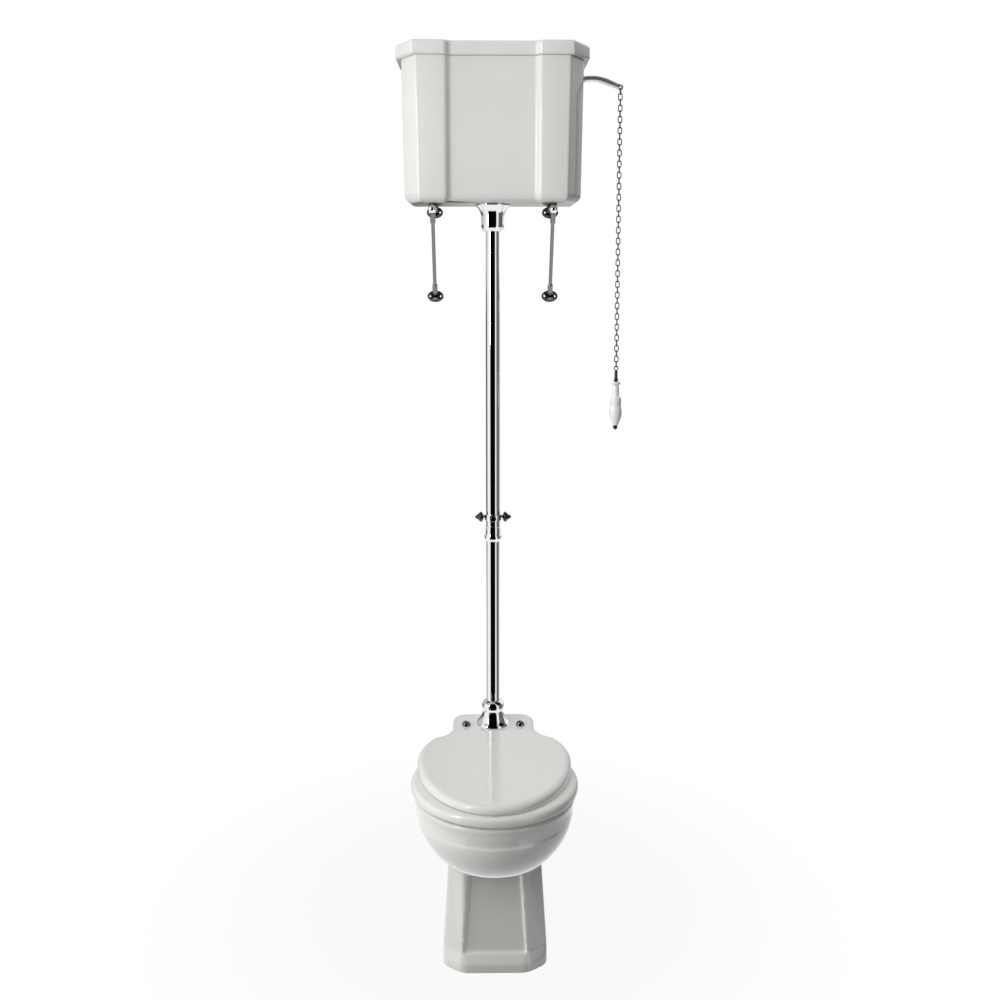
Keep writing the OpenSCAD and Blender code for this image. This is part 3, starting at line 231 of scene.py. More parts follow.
def brassFinish(name, look):
    material, graph = newFinish(name)
    patches = graph.noise(38.0, 5.0, 0.62).step(0.42, 0.72)
    grain = graph.noise(1.0, 3.0, 0.6, graph.stretched((300.0, 300.0, 40.0)))
    graph.coated({
        "Base Color": graph.mixed(0.75 * patches, look["colour"], look["tarnish"]),
        "Metallic": 1.0, "Roughness": look["roughness"] + 0.25 * patches + 0.08 * grain,
        "Normal": graph.bump(graph.noise(520.0, 2.0, 0.6) + 0.4 * grain, 0.35, 0.0001)})
    return material


# rubber of washers, buffers and pads
rubberLook = {"colour": (0.022, 0.022, 0.023), "bloom": (0.085, 0.085, 0.083), "roughness": 0.55}


def rubberFinish(name, look):
    material, graph = newFinish(name)
    bloom = graph.noise(55.0, 4.0, 0.6).step(0.5, 0.85)
    graph.coated({
        "Base Color": graph.mixed(bloom * 0.7, look["colour"], look["bloom"]),
        "Roughness": look["roughness"] + 0.2 * bloom,
        "Normal": graph.bump(graph.noise(900.0, 2.0, 0.6), 0.4, 0.00012)})
    return material


# plastic of the siphon, the float and the wing nuts
plasticLook = {"colour": (0.74, 0.74, 0.70), "aged": (0.66, 0.64, 0.56), "roughness": 0.34}


def plasticFinish(name, look):
    material, graph = newFinish(name)
    aged = graph.noise(12.0, 3.0, 0.6).step(0.4, 0.8)
    flow = graph.noise(1.0, 2.0, 0.5, graph.stretched((60.0, 60.0, 9.0)))
    graph.coated({
        "Base Color": graph.mixed(aged * 0.6, look["colour"], look["aged"]),
        "Roughness": look["roughness"] + 0.1 * flow,
        "Normal": graph.bump(graph.noise(1400.0, 1.0, 0.5) + 0.6 * flow, 0.25, 0.00008)})
    return material


finishes = {
    "china": chinaFinish("fired_china_glaze", chinaLook),
    "handle": chinaFinish("white_handle_glaze", handleLook),
    "seat": lacquerFinish("sprayed_seat_lacquer", lacquerLook),
    "chrome": chromeFinish("polished_chrome_plate", chromeLook),
    # painted dark reflection: the small fittings' chrome is painted near black
    "fitting": chromeFinish("small_fittings_painted_dark_chrome", fittingPaintedDarkLook),
    # painted dark reflection: the chain's chrome is painted dark grey
    "chain": chromeFinish("chain_wire_painted_dark_chrome", chainPaintedDarkLook),
    # painted dark reflection: the struts' chrome is painted dark grey
    "strut": chromeFinish("bracket_strut_painted_dark_chrome", strutPaintedDarkLook),
    "lever": chromeFinish("satin_lever_chrome", leverLook),
    "brass": brassFinish("bare_tarnished_brass", brassLook),
    "rubber": rubberFinish("black_moulded_rubber", rubberLook),
    "plastic": plasticFinish("moulded_white_plastic", plasticLook)}
print("finishes made:", len(finishes))

# which finish each node of the model takes, where it isn't plain chrome
nodeFinishes = {
    "china": ["pan_rim", "pan_bowl", "pan_sump", "pan_trap", "pan_outlet", "pan_foot", "pan_neck",
              "cistern_tank", "cistern_lid"],
    "handle": ["pull_handle"],
    # the small fittings take a chrome with a painted dark reflection
    "fitting": ["bracket_roses", "bracket_pins", "clip_finials", "clip_front_screw", "pull_nut"],
    # the chain takes a chrome with a painted dark reflection
    "chain": ["chain_ring", "chain_upper", "chain_lower", "pull_shank"],
    # the struts and shelf caps take a chrome with a painted dark reflection
    "strut": ["bracket_struts", "shelf_hole_caps"],
    "seat": ["seat_ring", "seat_lid"],
    "rubber": ["seat_ring_buffers", "seat_lid_buffers", "seat_bolt_washers", "flush_cone", "joint_seal",
               "pipe_olive", "bracket_pads", "siphon_washer", "siphon_diaphragm", "inlet_washer"],
    "plastic": ["seat_wing_nuts", "siphon_body", "float_ball"],
    "brass": ["siphon_back_nut", "siphon_plunger", "lift_link", "lever_bush_nut", "lever_pin",
              "inlet_valve", "inlet_back_nut", "float_pin", "float_arm"]}
finishOf = {node: name for name, group in nodeFinishes.items() for node in group}


def setFinish(obj, name):
    obj.data.materials.clear()
    obj.data.materials.append(finishes[name])


for nodeName, nodeObject in cadNodes.items():
    setFinish(nodeObject, finishOf.get(nodeName, "chrome"))
print("finishes set on the model's nodes")

# studio: white all round, brighter on the left. Metal also sees a dark room in front of the object
# and greys beside, above and behind it: bands [from, to] round the upright in radians, and soft
# edges [from, to] as heights of the direction looked in
studioLook = {
    "level": 0.27, "sideways": 0.34, "upward": 0.50, "dark": 0.002, "bright": 1.0, "soft": 0.05,
    "front": (-0.80, 0.62), "frontLow": (-0.75, -0.62), "frontHigh": (0.93, 0.99),
    "sides": [(1.0, 1.95, 0.86), (-3.1, -1.75, 0.42)], "sidesLow": (-0.5, -0.38),
    "ceiling": 0.45, "ceilingLow": (0.5, 0.75),
    "behind": 0.5, "behindFrom": (0.2, 0.5), "behindLow": (-0.3, -0.2), "behindHigh": (-0.05, 0.02)}


def bandOf(angle, low, high, soft):
    return angle.step(low - soft, low + soft) * (1 - angle.step(high - soft, high + soft))


def makeStudio(look):
    world = bpy.data.worlds.new("studio")
    scene.world = world
    world.use_nodes = True
    graph = Graph(world.node_tree)
    way = graph.node("ShaderNodeTexCoord", output="Generated")
    x, y, z = (graph.node("ShaderNodeSeparateXYZ", {}, {0: way}, output=axis) for axis in "XYZ")
    seen = graph.node("ShaderNodeLightPath", output="Is Camera Ray")
    mirrored = graph.node("ShaderNodeLightPath", output="Is Glossy Ray")
    angle = x.maths("ARCTAN2", x, -y)
    front = bandOf(angle, *look["front"], look["soft"])
    front = front * (1 - z.step(*look["frontHigh"])) * z.step(*look["frontLow"])
    sides = sum(bandOf(angle, low, high, look["soft"]) * depth for low, high, depth in look["sides"])
    ceiling = z.step(*look["ceilingLow"]) * look["ceiling"]
    behind = y.step(*look["behindFrom"]) * (1 - z.step(*look["behindHigh"])) * z.step(*look["behindLow"])
    shade = (sides * z.step(*look["sidesLow"]) + front + ceiling + behind * look["behind"]).clamped()
    mirror = look["bright"] + (look["dark"] - look["bright"]) * shade
    even = look["level"] - look["sideways"] * x + look["upward"] * z.maths("MAXIMUM", z, 0)
    light = even + (mirror - even) * mirrored
    light = light + (1 - light) * seen
    grey = graph.node("ShaderNodeCombineColor", {}, {0: light, 1: light, 2: light})
    graph.surface(graph.node("ShaderNodeBackground", {}, {"Color": grey, "Strength": 1.0}),
                  "ShaderNodeOutputWorld")


makeStudio(studioLook)


def meshObject(name, bm):
    mesh = bpy.data.meshes.new(name)
    bm.to_mesh(mesh)
    bm.free()
    made = bpy.data.objects.new(name, mesh)
    scene.collection.objects.link(made)
    return made


# floor: a pale disc that glows white to the camera and fades into the white of the studio; near the middle a
# share of the matt floor shows through, which lets the real shadow show faintly and darkens the floor there a
# little as painted shade
floorLook = {"radius": 1.6, "fadeFrom": 0.35, "fadeTo": 1.0, "shadow": 0.06, "colour": (0.25, 0.25, 0.25)}


def addFloor(look):
    bm = bmesh.new()
    bmesh.ops.create_circle(bm, cap_ends=True, segments=96, radius=look["radius"])
    floor = meshObject("floor", bm)
    material, graph = newFinish("pale_floor")
    far = graph.node("ShaderNodeVectorMath", {"operation": "LENGTH"}, {0: graph.place()}, output="Value")
    seen = graph.node("ShaderNodeLightPath", output="Is Camera Ray")
    # painted shade near the middle, with the real shadow showing through the matt share
    white = seen * (1 - look["shadow"] * (1 - far.step(look["fadeFrom"], look["fadeTo"])))
    glow = graph.node("ShaderNodeEmission", {}, {"Color": (1, 1, 1), "Strength": 1.0})
    matt = graph.node("ShaderNodeBsdfDiffuse", {}, {"Color": look["colour"]})
    graph.surface(graph.node("ShaderNodeMixShader", {}, {0: white, 1: matt, 2: glow}))
    floor.data.materials.append(material)
    floor.visible_glossy = False


addFloor(floorLook)
print("studio and floor made")

# lamps: place, aim, width and height, watts, and whether metal mirrors the lamp
lampSetup = {"key_lamp": ((-1.9, -1.5, 2.0), (0, 0.1, 1.9), (0.3, 1.5), 17, True),
             "front_lamp": ((-0.45, -1.3, 2.1), (0, 0.1, 1.9), (1.2, 0.6), 7.6, False),
             "low_lamp": ((-1.9, -0.6, 0.2), (0, 0.0, 0.12), (0.5, 0.3), 10, False)}


def addLamp(name, place, target, size, power, mirrored):
    data = bpy.data.lights.new(name, "AREA")
    data.shape = "RECTANGLE"
    data.size, data.size_y = size
    data.energy = power
    lamp = bpy.data.objects.new(name, data)
    lamp.location = place
    lamp.visible_glossy = mirrored
    lamp.rotation_euler = (Vector(target) - Vector(place)).to_track_quat("-Z", "Y").to_euler()
    scene.collection.objects.link(lamp)


for lampName, lampValues in lampSetup.items():
    addLamp(lampName, *lampValues)

mm = 0.001
wall = 0.26  # the wall's Y; "off" counts from it towards the front, in millimetres
pipeOff = 95  # the flush pipe's axis


def spot(x, off, z):
    return Vector((x * mm, wall - off * mm, z * mm))


def loopOf(made):
    # a circle's edges, each once and always in the same order
    return list(dict.fromkeys(edge for vert in made["verts"] for edge in vert.link_edges))


def ringAt(bm, z, points):
    # a closed loop of edges at one height, from plan points [x, off the wall]
    made = bmesh.ops.create_circle(bm, segments=len(points), radius=1)
    for vert, (x, off) in zip(made["verts"], points):
        vert.co = spot(x, off, z)
    return loopOf(made)


def skinned(bm, rings):
    for low, high in zip(rings, rings[1:]):
        bmesh.ops.bridge_loops(bm, edges=low + high)
    for ring in (rings[0], rings[-1]):
        bmesh.ops.edgeloop_fill(bm, edges=ring)
    bmesh.ops.recalc_face_normals(bm, faces=bm.faces)
    return bm


def loft(sections):
    bm = bmesh.new()
    return skinned(bm, [ringAt(bm, z, points) for z, points in sections])


def bentBar(path, radii, sides):
    # a round bar through places, with a radius at each
    bm = bmesh.new()
    rings = []
    for k, (place, radius) in enumerate(zip(path, radii)):
        along = path[min(k + 1, len(path) - 1)] - path[max(k - 1, 0)]
        turn = Vector((0, 0, 1)).rotation_difference(along).to_matrix().to_4x4()
        made = bmesh.ops.create_circle(bm, segments=sides, radius=radius * mm)
        bmesh.ops.transform(bm, matrix=Matrix.Translation(place) @ turn, verts=made["verts"])
        rings.append(loopOf(made))
    return skinned(bm, rings)


def block(x, half, off0, off1, z0, z1):
    bm = bmesh.new()
    bmesh.ops.create_cube(bm, size=1)
    bmesh.ops.scale(bm, vec=(2 * half * mm, (off1 - off0) * mm, (z1 - z0) * mm), verts=bm.verts)
    bmesh.ops.translate(bm, vec=spot(x, (off0 + off1) / 2, (z0 + z1) / 2), verts=bm.verts)
    return bm


def rod(axis, radius, start, end, first, second, sides=48):
    # a round bar from start to end along "x", "off" or "z", with its two other measures in that order
    bm = bmesh.new()
    bmesh.ops.create_cone(bm, cap_ends=True, segments=sides, radius1=radius * mm, radius2=radius * mm,
                          depth=(end - start) * mm)
    middle = (start + end) / 2
    if axis != "z":
        turn = Matrix.Rotation(math.radians(90), 3, "Y" if axis == "x" else "X")
        bmesh.ops.rotate(bm, matrix=turn, verts=bm.verts)
    place = {"x": (middle, first, second), "off": (first, middle, second), "z": (first, second, middle)}[axis]
    bmesh.ops.translate(bm, vec=spot(*place), verts=bm.verts)
    return bm


def tipped(bm, off, z, degrees):
    # leans a shape about a line across the middle plane
    bmesh.ops.rotate(bm, cent=spot(0, off, z), matrix=Matrix.Rotation(math.radians(degrees), 3, "X"),
                     verts=bm.verts)
    return bm


def behindCut(bm, off):
    # takes away what lies nearer the wall than off, and closes the cut
    cut = bmesh.ops.bisect_plane(bm, geom=bm.verts[:] + bm.edges[:] + bm.faces[:], plane_co=spot(0, off, 0),
                                 plane_no=(0, 1, 0), clear_outer=True)["geom_cut"]
    bmesh.ops.edgeloop_fill(bm, edges=[e for e in cut if isinstance(e, bmesh.types.BMEdge)])
    bmesh.ops.recalc_face_normals(bm, faces=bm.faces)
    return bm


def eggPlan(halfWidth, front, back, off=475, sides=144):
    turns = [2 * math.pi * i / sides for i in range(sides)]
    return [(halfWidth * math.sin(a), off + (front if math.cos(a) > 0 else back) * math.cos(a))
            for a in turns]


def eggStack(under, reach, edge, off=475):
    # sections of an egg-shaped piece, from [height over its underside, how far it is drawn in there]
    return [(under + z, eggPlan(*[r - inset for r in reach], off)) for z, inset in edge]


def arcPath(centre, radius, start, end, steps):
    turns = [math.radians(start + (end - start) * i / steps) for i in range(steps + 1)]
    return [(centre[0] + radius * math.cos(a), centre[1] + radius * math.sin(a)) for a in turns]


def bentOver(start, corner, end, steps):
    return [tuple(start * (1 - t) ** 2 + corner * (2 * t * (1 - t)) + end * t ** 2)
            for t in (k / steps for k in range(steps + 1))]


def softPlan(points, cuts):
    # a plan with each corner bent over, from as far before it as its cut to as far after it
    bent = []
    for i, cut in enumerate(cuts):
        corner = Vector(points[i])
        start = corner + (Vector(points[i - 1]) - corner).normalized() * cut
        end = corner + (Vector(points[(i + 1) % len(points)]) - corner).normalized() * cut
        bent += bentOver(start, corner, end, 4)
    return bent


def backPlan(half, back, front, radius, steps):
    # straight in front, with two round corners towards the wall
    corner = [(half - radius + radius * math.cos(a), back + radius - radius * math.sin(a))
              for a in (math.radians(90 * i / steps) for i in range(steps + 1))]
    return [(-half, front), (half, front)] + corner + [(-x, off) for x, off in reversed(corner)]


def applied(obj):
    # bakes the object's modifiers into its mesh
    bpy.context.view_layer.update()
    shaped = obj.evaluated_get(bpy.context.evaluated_depsgraph_get())
    mesh = bpy.data.meshes.new_from_object(shaped)
    obj.modifiers.clear()
    old = obj.data
    obj.data = mesh
    bpy.data.meshes.remove(old)
    return obj


def joined(obj, shape, operation):
    tool = meshObject("tool", shape)
    change = obj.modifiers.new("join", "BOOLEAN")
    change.operation = operation
    change.solver = "MANIFOLD"
    change.object = tool
    applied(obj)
    bpy.data.objects.remove(tool)
    return obj


def softened(obj, grain, rounds, kept):
    # one skin over the whole casting, with every edge rounded as the glaze leaves it
    skin = obj.modifiers.new("skin", "REMESH")
    skin.mode = "VOXEL"
    skin.voxel_size = grain
    skin.adaptivity = 0
    applied(obj)
    soft = obj.modifiers.new("soft", "SMOOTH")
    soft.factor = 0.5
    soft.iterations = rounds
    thin = obj.modifiers.new("thin", "DECIMATE")
    thin.ratio = kept
    return applied(obj)


def placed(obj, body, finish, *nodes):
    setFinish(obj, finish)
    obj.data.shade_smooth()
    obj.data.set_sharp_from_angle(angle=math.radians(35))
    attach(obj, body)
    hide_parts(*nodes)
    return obj


# pan: one casting, with the fired clay's soft edges. A reach is half the width, then how far the
# plan goes in front of its widest line and behind it
panForm = {
    "nodes": ["pan_rim", "pan_bowl", "pan_sump", "pan_trap", "pan_outlet", "pan_foot", "pan_neck"],
    "skin": (0.0027, 5, 0.36), "china": 11,
    # the bowl inside: full at a height, and how deep and how steeply it closes in below
    "bowlReach": (153, 162, 157), "bowlCurve": (0.75, 1.2, 0.9), "bowlFull": 345, "bowlDepth": 237,
    "bowlHeights": (128, 129.5, 132, 136, 142, 150, 160, 173, 190, 208, 228, 248, 268, 288, 305, 318, 330,
                    345),
    "mouthReach": (128, 147, 142),
    "mouthEdge": [(356, 0), (394, 0), (397, -0.7), (398.8, -2), (400, -5), (401, -9)],
    # the bowl outside
    "underHeights": (117, 124, 132, 142, 154, 168, 184, 202), "waist": 236, "ledge": 350,
    "bellyReach": (180.5, 193, 207), "bellyDepth": (154, 140, 160), "bellyCurve": 1.6, "bellySteps": 24,
    # the rim stands in from the bowl at the front, and less so at the sides
    "rimReach": (187, 196, 215), "rimSideShare": 0.8,
    "rimEdge": [(352, 6.5), (362, 6.2), (375, 5), (383, 3), (388, 1.2), (392, 0), (394, 0), (396, 0.8),
                (398, 2.6), (399.3, 4.8), (400, 7.5)],
    # the pedestal: plinth, slope and leaning front, each [height, drawn in sideways, in front]
    "footFront": 577, "footBack": 315, "footHalf": 121, "faceHalf": 75, "chamfer": 34, "plinthTop": 20,
    "plinthRound": (2, 0.3), "plinthSoft": 15, "footSoft": 5, "backSoft": 2, "slopeTop": 46,
    "slopeIn": (1, 11), "footTop": 249, "topHalf": 107, "topIn": (3, 17), "topChamfer": 30,
    "lugs": (222, 286, 0, 22),
    "panel": {"low": 43, "high": 232, "halfLow": 72, "halfHigh": 59, "off": 565, "sunk": 5, "lean": 6,
              "cutter": 30},
    # the neck behind the bowl, [height, half width, off the wall], then a quarter round up to the shelf
    "neckFoot": [(86, 235), (84, 233), (78, 231)], "neckFootHeights": (190, 234), "neckBend": (254, 74, 231),
    "neckRound": 118, "neckTurn": 72, "neckNarrowing": 0.25, "neckTop": (378, 55, 135), "neckFront": 391,
    "neckRadius": 14, "neckRoomTop": 320,
    "shelfHalf": 107, "shelfBack": 32, "shelfRadius": 40, "shelfFront": 325,
    "shelfEdge": [(372, 3), (373, 1), (375, 0), (395, 0), (397.5, 0.8), (399.3, 2.5), (400, 5)],
    # the trap's way through [off, height], in arcs [centre, radius, from, to, steps]
    "trapStart": (461, 168), "trapEnd": (128, 180), "trapRadius": 48, "trapBore": 37,
    "trapArcs": [((392, 177), 55, -45, -152, 10), ((260, 191), 55, 28, 150, 11),
                 ((158, 235), 55, -30, -90, 6)],
    "outletRadius": 51, "outletHeight": 180, "outlet": (42, 158), "outletBore": (22, 138),
    # the way in from the pipe to the bowl: [half width, off from, to, up from, to], and its lean
    "inletBox": (41, 59, 285, 340, 392), "inletRoom": (30, 73, 340, 351, 381), "inletHole": (26, 360, 405),
    "inletPivot": 366, "inletLean": 9,
    # holes to both sides: [radius, from, to, sideways, off the wall]
    "holes": [(8, 350, 410, 71.5, 110), (7.5, 350, 410, 77.5, 252), (4, -1, 30, 103, 260)]}


def bowlPlan(f, z, grow=0):
    share = 1 - (f["bowlFull"] - z) / f["bowlDepth"]
    return eggPlan(*[reach * share ** curve + grow for reach, curve in zip(f["bowlReach"], f["bowlCurve"])])


def bowlOutside(f):
    sections = [(z, bowlPlan(f, z, f["china"])) for z in f["underHeights"]]
    for i in range(f["bellySteps"] + 1):
        z = f["waist"] + i * (f["ledge"] - f["waist"]) / f["bellySteps"]
        sections.append((z, eggPlan(*[reach * math.sqrt(1 - ((f["ledge"] - z) / depth) ** f["bellyCurve"])
                                      for reach, depth in zip(f["bellyReach"], f["bellyDepth"])])))
    side, front, back = f["rimReach"]
    for z, inset in f["rimEdge"]:
        sections.append((z, eggPlan(side - inset * f["rimSideShare"], front - inset, back - inset)))
    return loft(sections)


def bowlInside(f):
    below = [(z, bowlPlan(f, z)) for z in f["bowlHeights"]]
    return loft(below + eggStack(0, f["mouthReach"], f["mouthEdge"]))


def pedestal(f, inset=0, start=0):
    def plan(face, half, front, chamfer, soft):
        back, backSoft = f["footBack"] + inset, f["backSoft"]
        corners = [(-face, front), (face, front), (half, front - chamfer), (half, back), (-half, back),
                   (-half, front - chamfer)]
        return softPlan(corners, [soft, soft, soft, backSoft, backSoft, soft])

    face, half, front = f["faceHalf"] - inset / 2, f["footHalf"] - inset, f["footFront"] - inset
    (slopeSide, slopeFront), (topSide, topFront), (up, over) = f["slopeIn"], f["topIn"], f["plinthRound"]
    low = plan(face, half, front, f["chamfer"], f["plinthSoft"])
    return loft([
        (start, low), (f["plinthTop"], low),
        (f["plinthTop"] + up, plan(face, half, front - over, f["chamfer"], f["plinthSoft"])),
        (f["slopeTop"], plan(face - slopeSide, half - slopeSide, front - slopeFront, f["topChamfer"],
                             f["footSoft"])),
        (f["footTop"], plan(face - topSide, f["topHalf"] - inset, front - topFront, f["topChamfer"],
                            f["footSoft"]))])


def neck(f, inset=0, start=0, top=math.inf):
    rows = [(z, *row) for z, row in zip((start, *f["neckFootHeights"]), f["neckFoot"])]
    (z0, half0, off0), r = f["neckBend"], f["neckRound"]
    for degrees in range(0, f["neckTurn"] + 1, 6):
        t, narrower = math.radians(degrees), degrees * f["neckNarrowing"]
        rows.append((z0 + r * math.sin(t), half0 - narrower, off0 - r * (1 - math.cos(t))))
    rows.append(f["neckTop"])
    return loft([(z, backPlan(half - inset, back + inset, f["neckFront"], f["neckRadius"], 6))
                 for z, half, back in rows if z < top])


def frontPanel(p):
    # the sunk panel's cutter: a leaning slab in front of the pedestal
    bm = bmesh.new()
    corners = [(-p["halfLow"], p["low"]), (p["halfLow"], p["low"]), (p["halfHigh"], p["high"]),
               (-p["halfHigh"], p["high"])]
    face = bm.faces.new([bm.verts.new(spot(x, p["off"] - p["sunk"], z)) for x, z in corners])
    grown = bmesh.ops.extrude_face_region(bm, geom=[face])["geom"]
    bmesh.ops.translate(bm, vec=(0, -p["cutter"] * mm, 0),
                        verts=[v for v in grown if isinstance(v, bmesh.types.BMVert)])
    bmesh.ops.recalc_face_normals(bm, faces=bm.faces)
    return tipped(bm, p["off"], p["low"], -math.degrees(math.atan(p["lean"] / (p["high"] - p["low"]))))


def makePan(f):
    way = [f["trapStart"]] + [point for arc in f["trapArcs"] for point in arcPath(*arc)] + [f["trapEnd"]]
    way = [spot(0, off, z) for off, z in way]

    def trap(radius):
        return bentBar(way, [radius] * len(way), 48)

    def outlet(radius, ends):
        return rod("off", radius, *ends, 0, f["outletHeight"], 96)

    def inlet(box):
        return tipped(block(0, *box), pipeOff, f["inletPivot"], f["inletLean"])

    def shelfPlan(inset):
        return backPlan(f["shelfHalf"] - inset, f["shelfBack"] + inset, f["shelfFront"],
                        f["shelfRadius"] - inset, 12)

    foot = [block(0, f["footHalf"], *f["lugs"]), neck(f)]
    footRoom = [pedestal(f, f["china"], -1), neck(f, f["china"], -1, f["neckRoomTop"])]
    upper = [bowlOutside(f), trap(f["trapRadius"]), outlet(f["outletRadius"], f["outlet"]),
             inlet(f["inletBox"]), loft([(z, shelfPlan(inset)) for z, inset in f["shelfEdge"]])]
    upperRoom = [bowlInside(f), trap(f["trapBore"]), outlet(f["trapBore"], f["outletBore"]),
                 frontPanel(f["panel"]), inlet(f["inletRoom"]), rod("z", *f["inletHole"], 0, pipeOff)]
    for side in (-1, 1):
        upperRoom += [rod("z", radius, low, high, side * x, off) for radius, low, high, x, off in f["holes"]]
    pan = meshObject("pan_casting", pedestal(f))
    for shapes, operation in ((foot, "UNION"), (footRoom, "DIFFERENCE"), (upper, "UNION"),
                              (upperRoom, "DIFFERENCE")):
        for shape in shapes:
            joined(pan, shape, operation)
    return softened(pan, *f["skin"])


# seat: ring and lid, each edge as [height over the underside, how far that section is drawn in]
seatForm = {
    "ringUnder": 405, "ringReach": (193.5, 201, 210), "holeReach": (116, 152, 128), "ringCut": 288,
    "ringSkin": (0.0022, 3, 0.5),
    "ringEdge": [(0, 4), (0.5, 2.4), (1.4, 1.2), (3, 0.4), (5, 0), (10, 0), (14, 0.7), (17, 2), (19.5, 4.3),
                 (21, 7), (21.8, 9.8), (22, 12)],
    "holeEdge": [(-1, -0.8), (0, 0.2), (1.5, 0.8), (4, 0.9), (10, 0.3), (15, -0.7), (18.5, -2.4),
                 (20.5, -4.5), (21.6, -7), (22, -9.5), (23, -14)],
    "lidUnder": 430, "lidReach": (182, 262, 193), "lidOff": 405, "lidCut": 259, "lidSkin": (0.0022, 3, 0.45),
    "lidEdge": [(0, 4), (0.5, 2.4), (1.3, 1.2), (2.6, 0.4), (4.5, 0), (7, 0.1), (9.5, 0.6), (12, 1.6),
                (14.2, 3.3), (16, 5.6), (17.4, 8.6), (18.4, 12), (18.9, 15.6), (19, 19)],
    # where the lid narrows to the width of the shelf: [radius, from, to, sideways, off the wall]
    "shoulder": (41, 425, 455, 149, 257)}


def makeSeat(f):
    outside = behindCut(loft(eggStack(f["ringUnder"], f["ringReach"], f["ringEdge"])), f["ringCut"])
    ring = meshObject("seat_ring_moulding", outside)
    joined(ring, loft(eggStack(f["ringUnder"], f["holeReach"], f["holeEdge"])), "DIFFERENCE")
    whole = loft(eggStack(f["lidUnder"], f["lidReach"], f["lidEdge"], f["lidOff"]))
    lid = meshObject("seat_lid_moulding", behindCut(whole, f["lidCut"]))
    radius, low, high, x, off = f["shoulder"]
    for side in (-1, 1):
        joined(lid, rod("z", radius, low, high, side * x, off, 96), "DIFFERENCE")
    return softened(ring, *f["ringSkin"]), softened(lid, *f["lidSkin"])


# cistern: a tapered tank with a sunk front panel and slanted corners
tankForm = {
    "low": 1754, "high": 2092, "halfLow": 215, "halfHigh": 220, "front": 200, "cornerWide": 36,
    "cornerDeep": 60, "panelHalf": 102, "sink": 12, "wallThick": 10, "floorTop": 1768,
    "underRadius": 20, "edgeRadius": 5, "rimRadius": 1.5, "roomEdge": 8, "roomUnder": 9,
    # holes, [radius, sideways, height]: the water inlet's, then the two wall holes
    "backHoles": [(10.98, -60, 2045), (4, -150, 2047), (4, 150, 2047)], "backEnds": (-5, 15),
    "outletHole": (25, 1750, 1775), "leverHole": (13.2, 195, 235), "leverHeight": 2052}
# and its loose cover, which follows the tank's panel and has a lip that drops into the tank
coverForm = {
    "low": 2092.3, "high": 2126, "half": 234, "front": 208, "cornerWide": 41.5, "cornerDeep": 73,
    "panelHalf": tankForm["panelHalf"], "sink": tankForm["sink"], "edgeRadius": 5, "topRadius": 9,
    "underRadius": 5, "lipDrop": 12, "lipUp": 4, "lipIn": (13.3, 13), "lipRadius": 5,
    "hollow": [(-14, 20), (18, 20), (22, 24)], "hollowRadius": 6}


def tankPlan(f, half, inset=0, back=0):
    p, s, wide, deep, front = f["panelHalf"], f["sink"], f["cornerWide"], f["cornerDeep"], f["front"]
    lean = math.atan2(wide, deep)
    shift, side = math.tan(math.radians(22.5)) * inset, half - inset
    edgeX = half - wide - inset * math.tan((math.pi / 2 - lean) / 2)
    edgeOff = front - deep - inset * math.tan(lean / 2)
    left = [(-side, edgeOff), (-edgeX, front - inset), (-p - s - shift, front - inset),
            (-p - shift, front - s - inset)]
    return left + [(-x, off) for x, off in reversed(left)] + [(side, back), (-side, back)]


def rounded(bm, radius, segments, wanted):
    # rounds the edges that pass the test, which gets an edge's two ends as [off the wall, height]
    picked = [e for e in bm.edges if wanted(*[((wall - v.co.y) / mm, v.co.z / mm) for v in e.verts])]
    bmesh.ops.bevel(bm, geom=picked, offset=radius * mm, offset_type="OFFSET", affect="EDGES",
                    segments=segments, profile=0.5, material=-1, clamp_overlap=False)
    return bm


def upright(a, b):
    return abs(a[1] - b[1]) > 5


def uprightInFront(a, b):
    return upright(a, b) and a[0] > 1


def levelAt(z, onWall=True):
    # the test for edges at one height, with or without those that lie on the wall
    def wanted(a, b):
        return abs(a[1] - z) < 1 and abs(b[1] - z) < 1 and (onWall or a[0] + b[0] > 1)

    return wanted


def makeTank(f):
    body = loft([(f["low"], tankPlan(f, f["halfLow"])), (f["high"], tankPlan(f, f["halfHigh"]))])
    rounded(body, f["edgeRadius"], 5, uprightInFront)
    rounded(body, f["underRadius"], 8, levelAt(f["low"], False))
    rounded(body, f["rimRadius"], 3, levelAt(f["high"]))
    t = f["wallThick"]
    room = loft([(f["floorTop"], tankPlan(f, f["halfLow"], t, t)),
                 (f["high"] + 5, tankPlan(f, f["halfHigh"], t, t))])
    rounded(room, f["roomEdge"], 4, upright)
    rounded(room, f["roomUnder"], 4, levelAt(f["floorTop"]))
    holes = [rod("z", *f["outletHole"], 0, pipeOff)]
    holes += [rod("off", radius, *f["backEnds"], x, z, 96) for radius, x, z in f["backHoles"]]
    holes.append(rod("x", *f["leverHole"], pipeOff, f["leverHeight"]))
    tank = meshObject("cistern_tank_casting", body)
    for shape in [room] + holes:
        joined(tank, shape, "DIFFERENCE")
    return tank


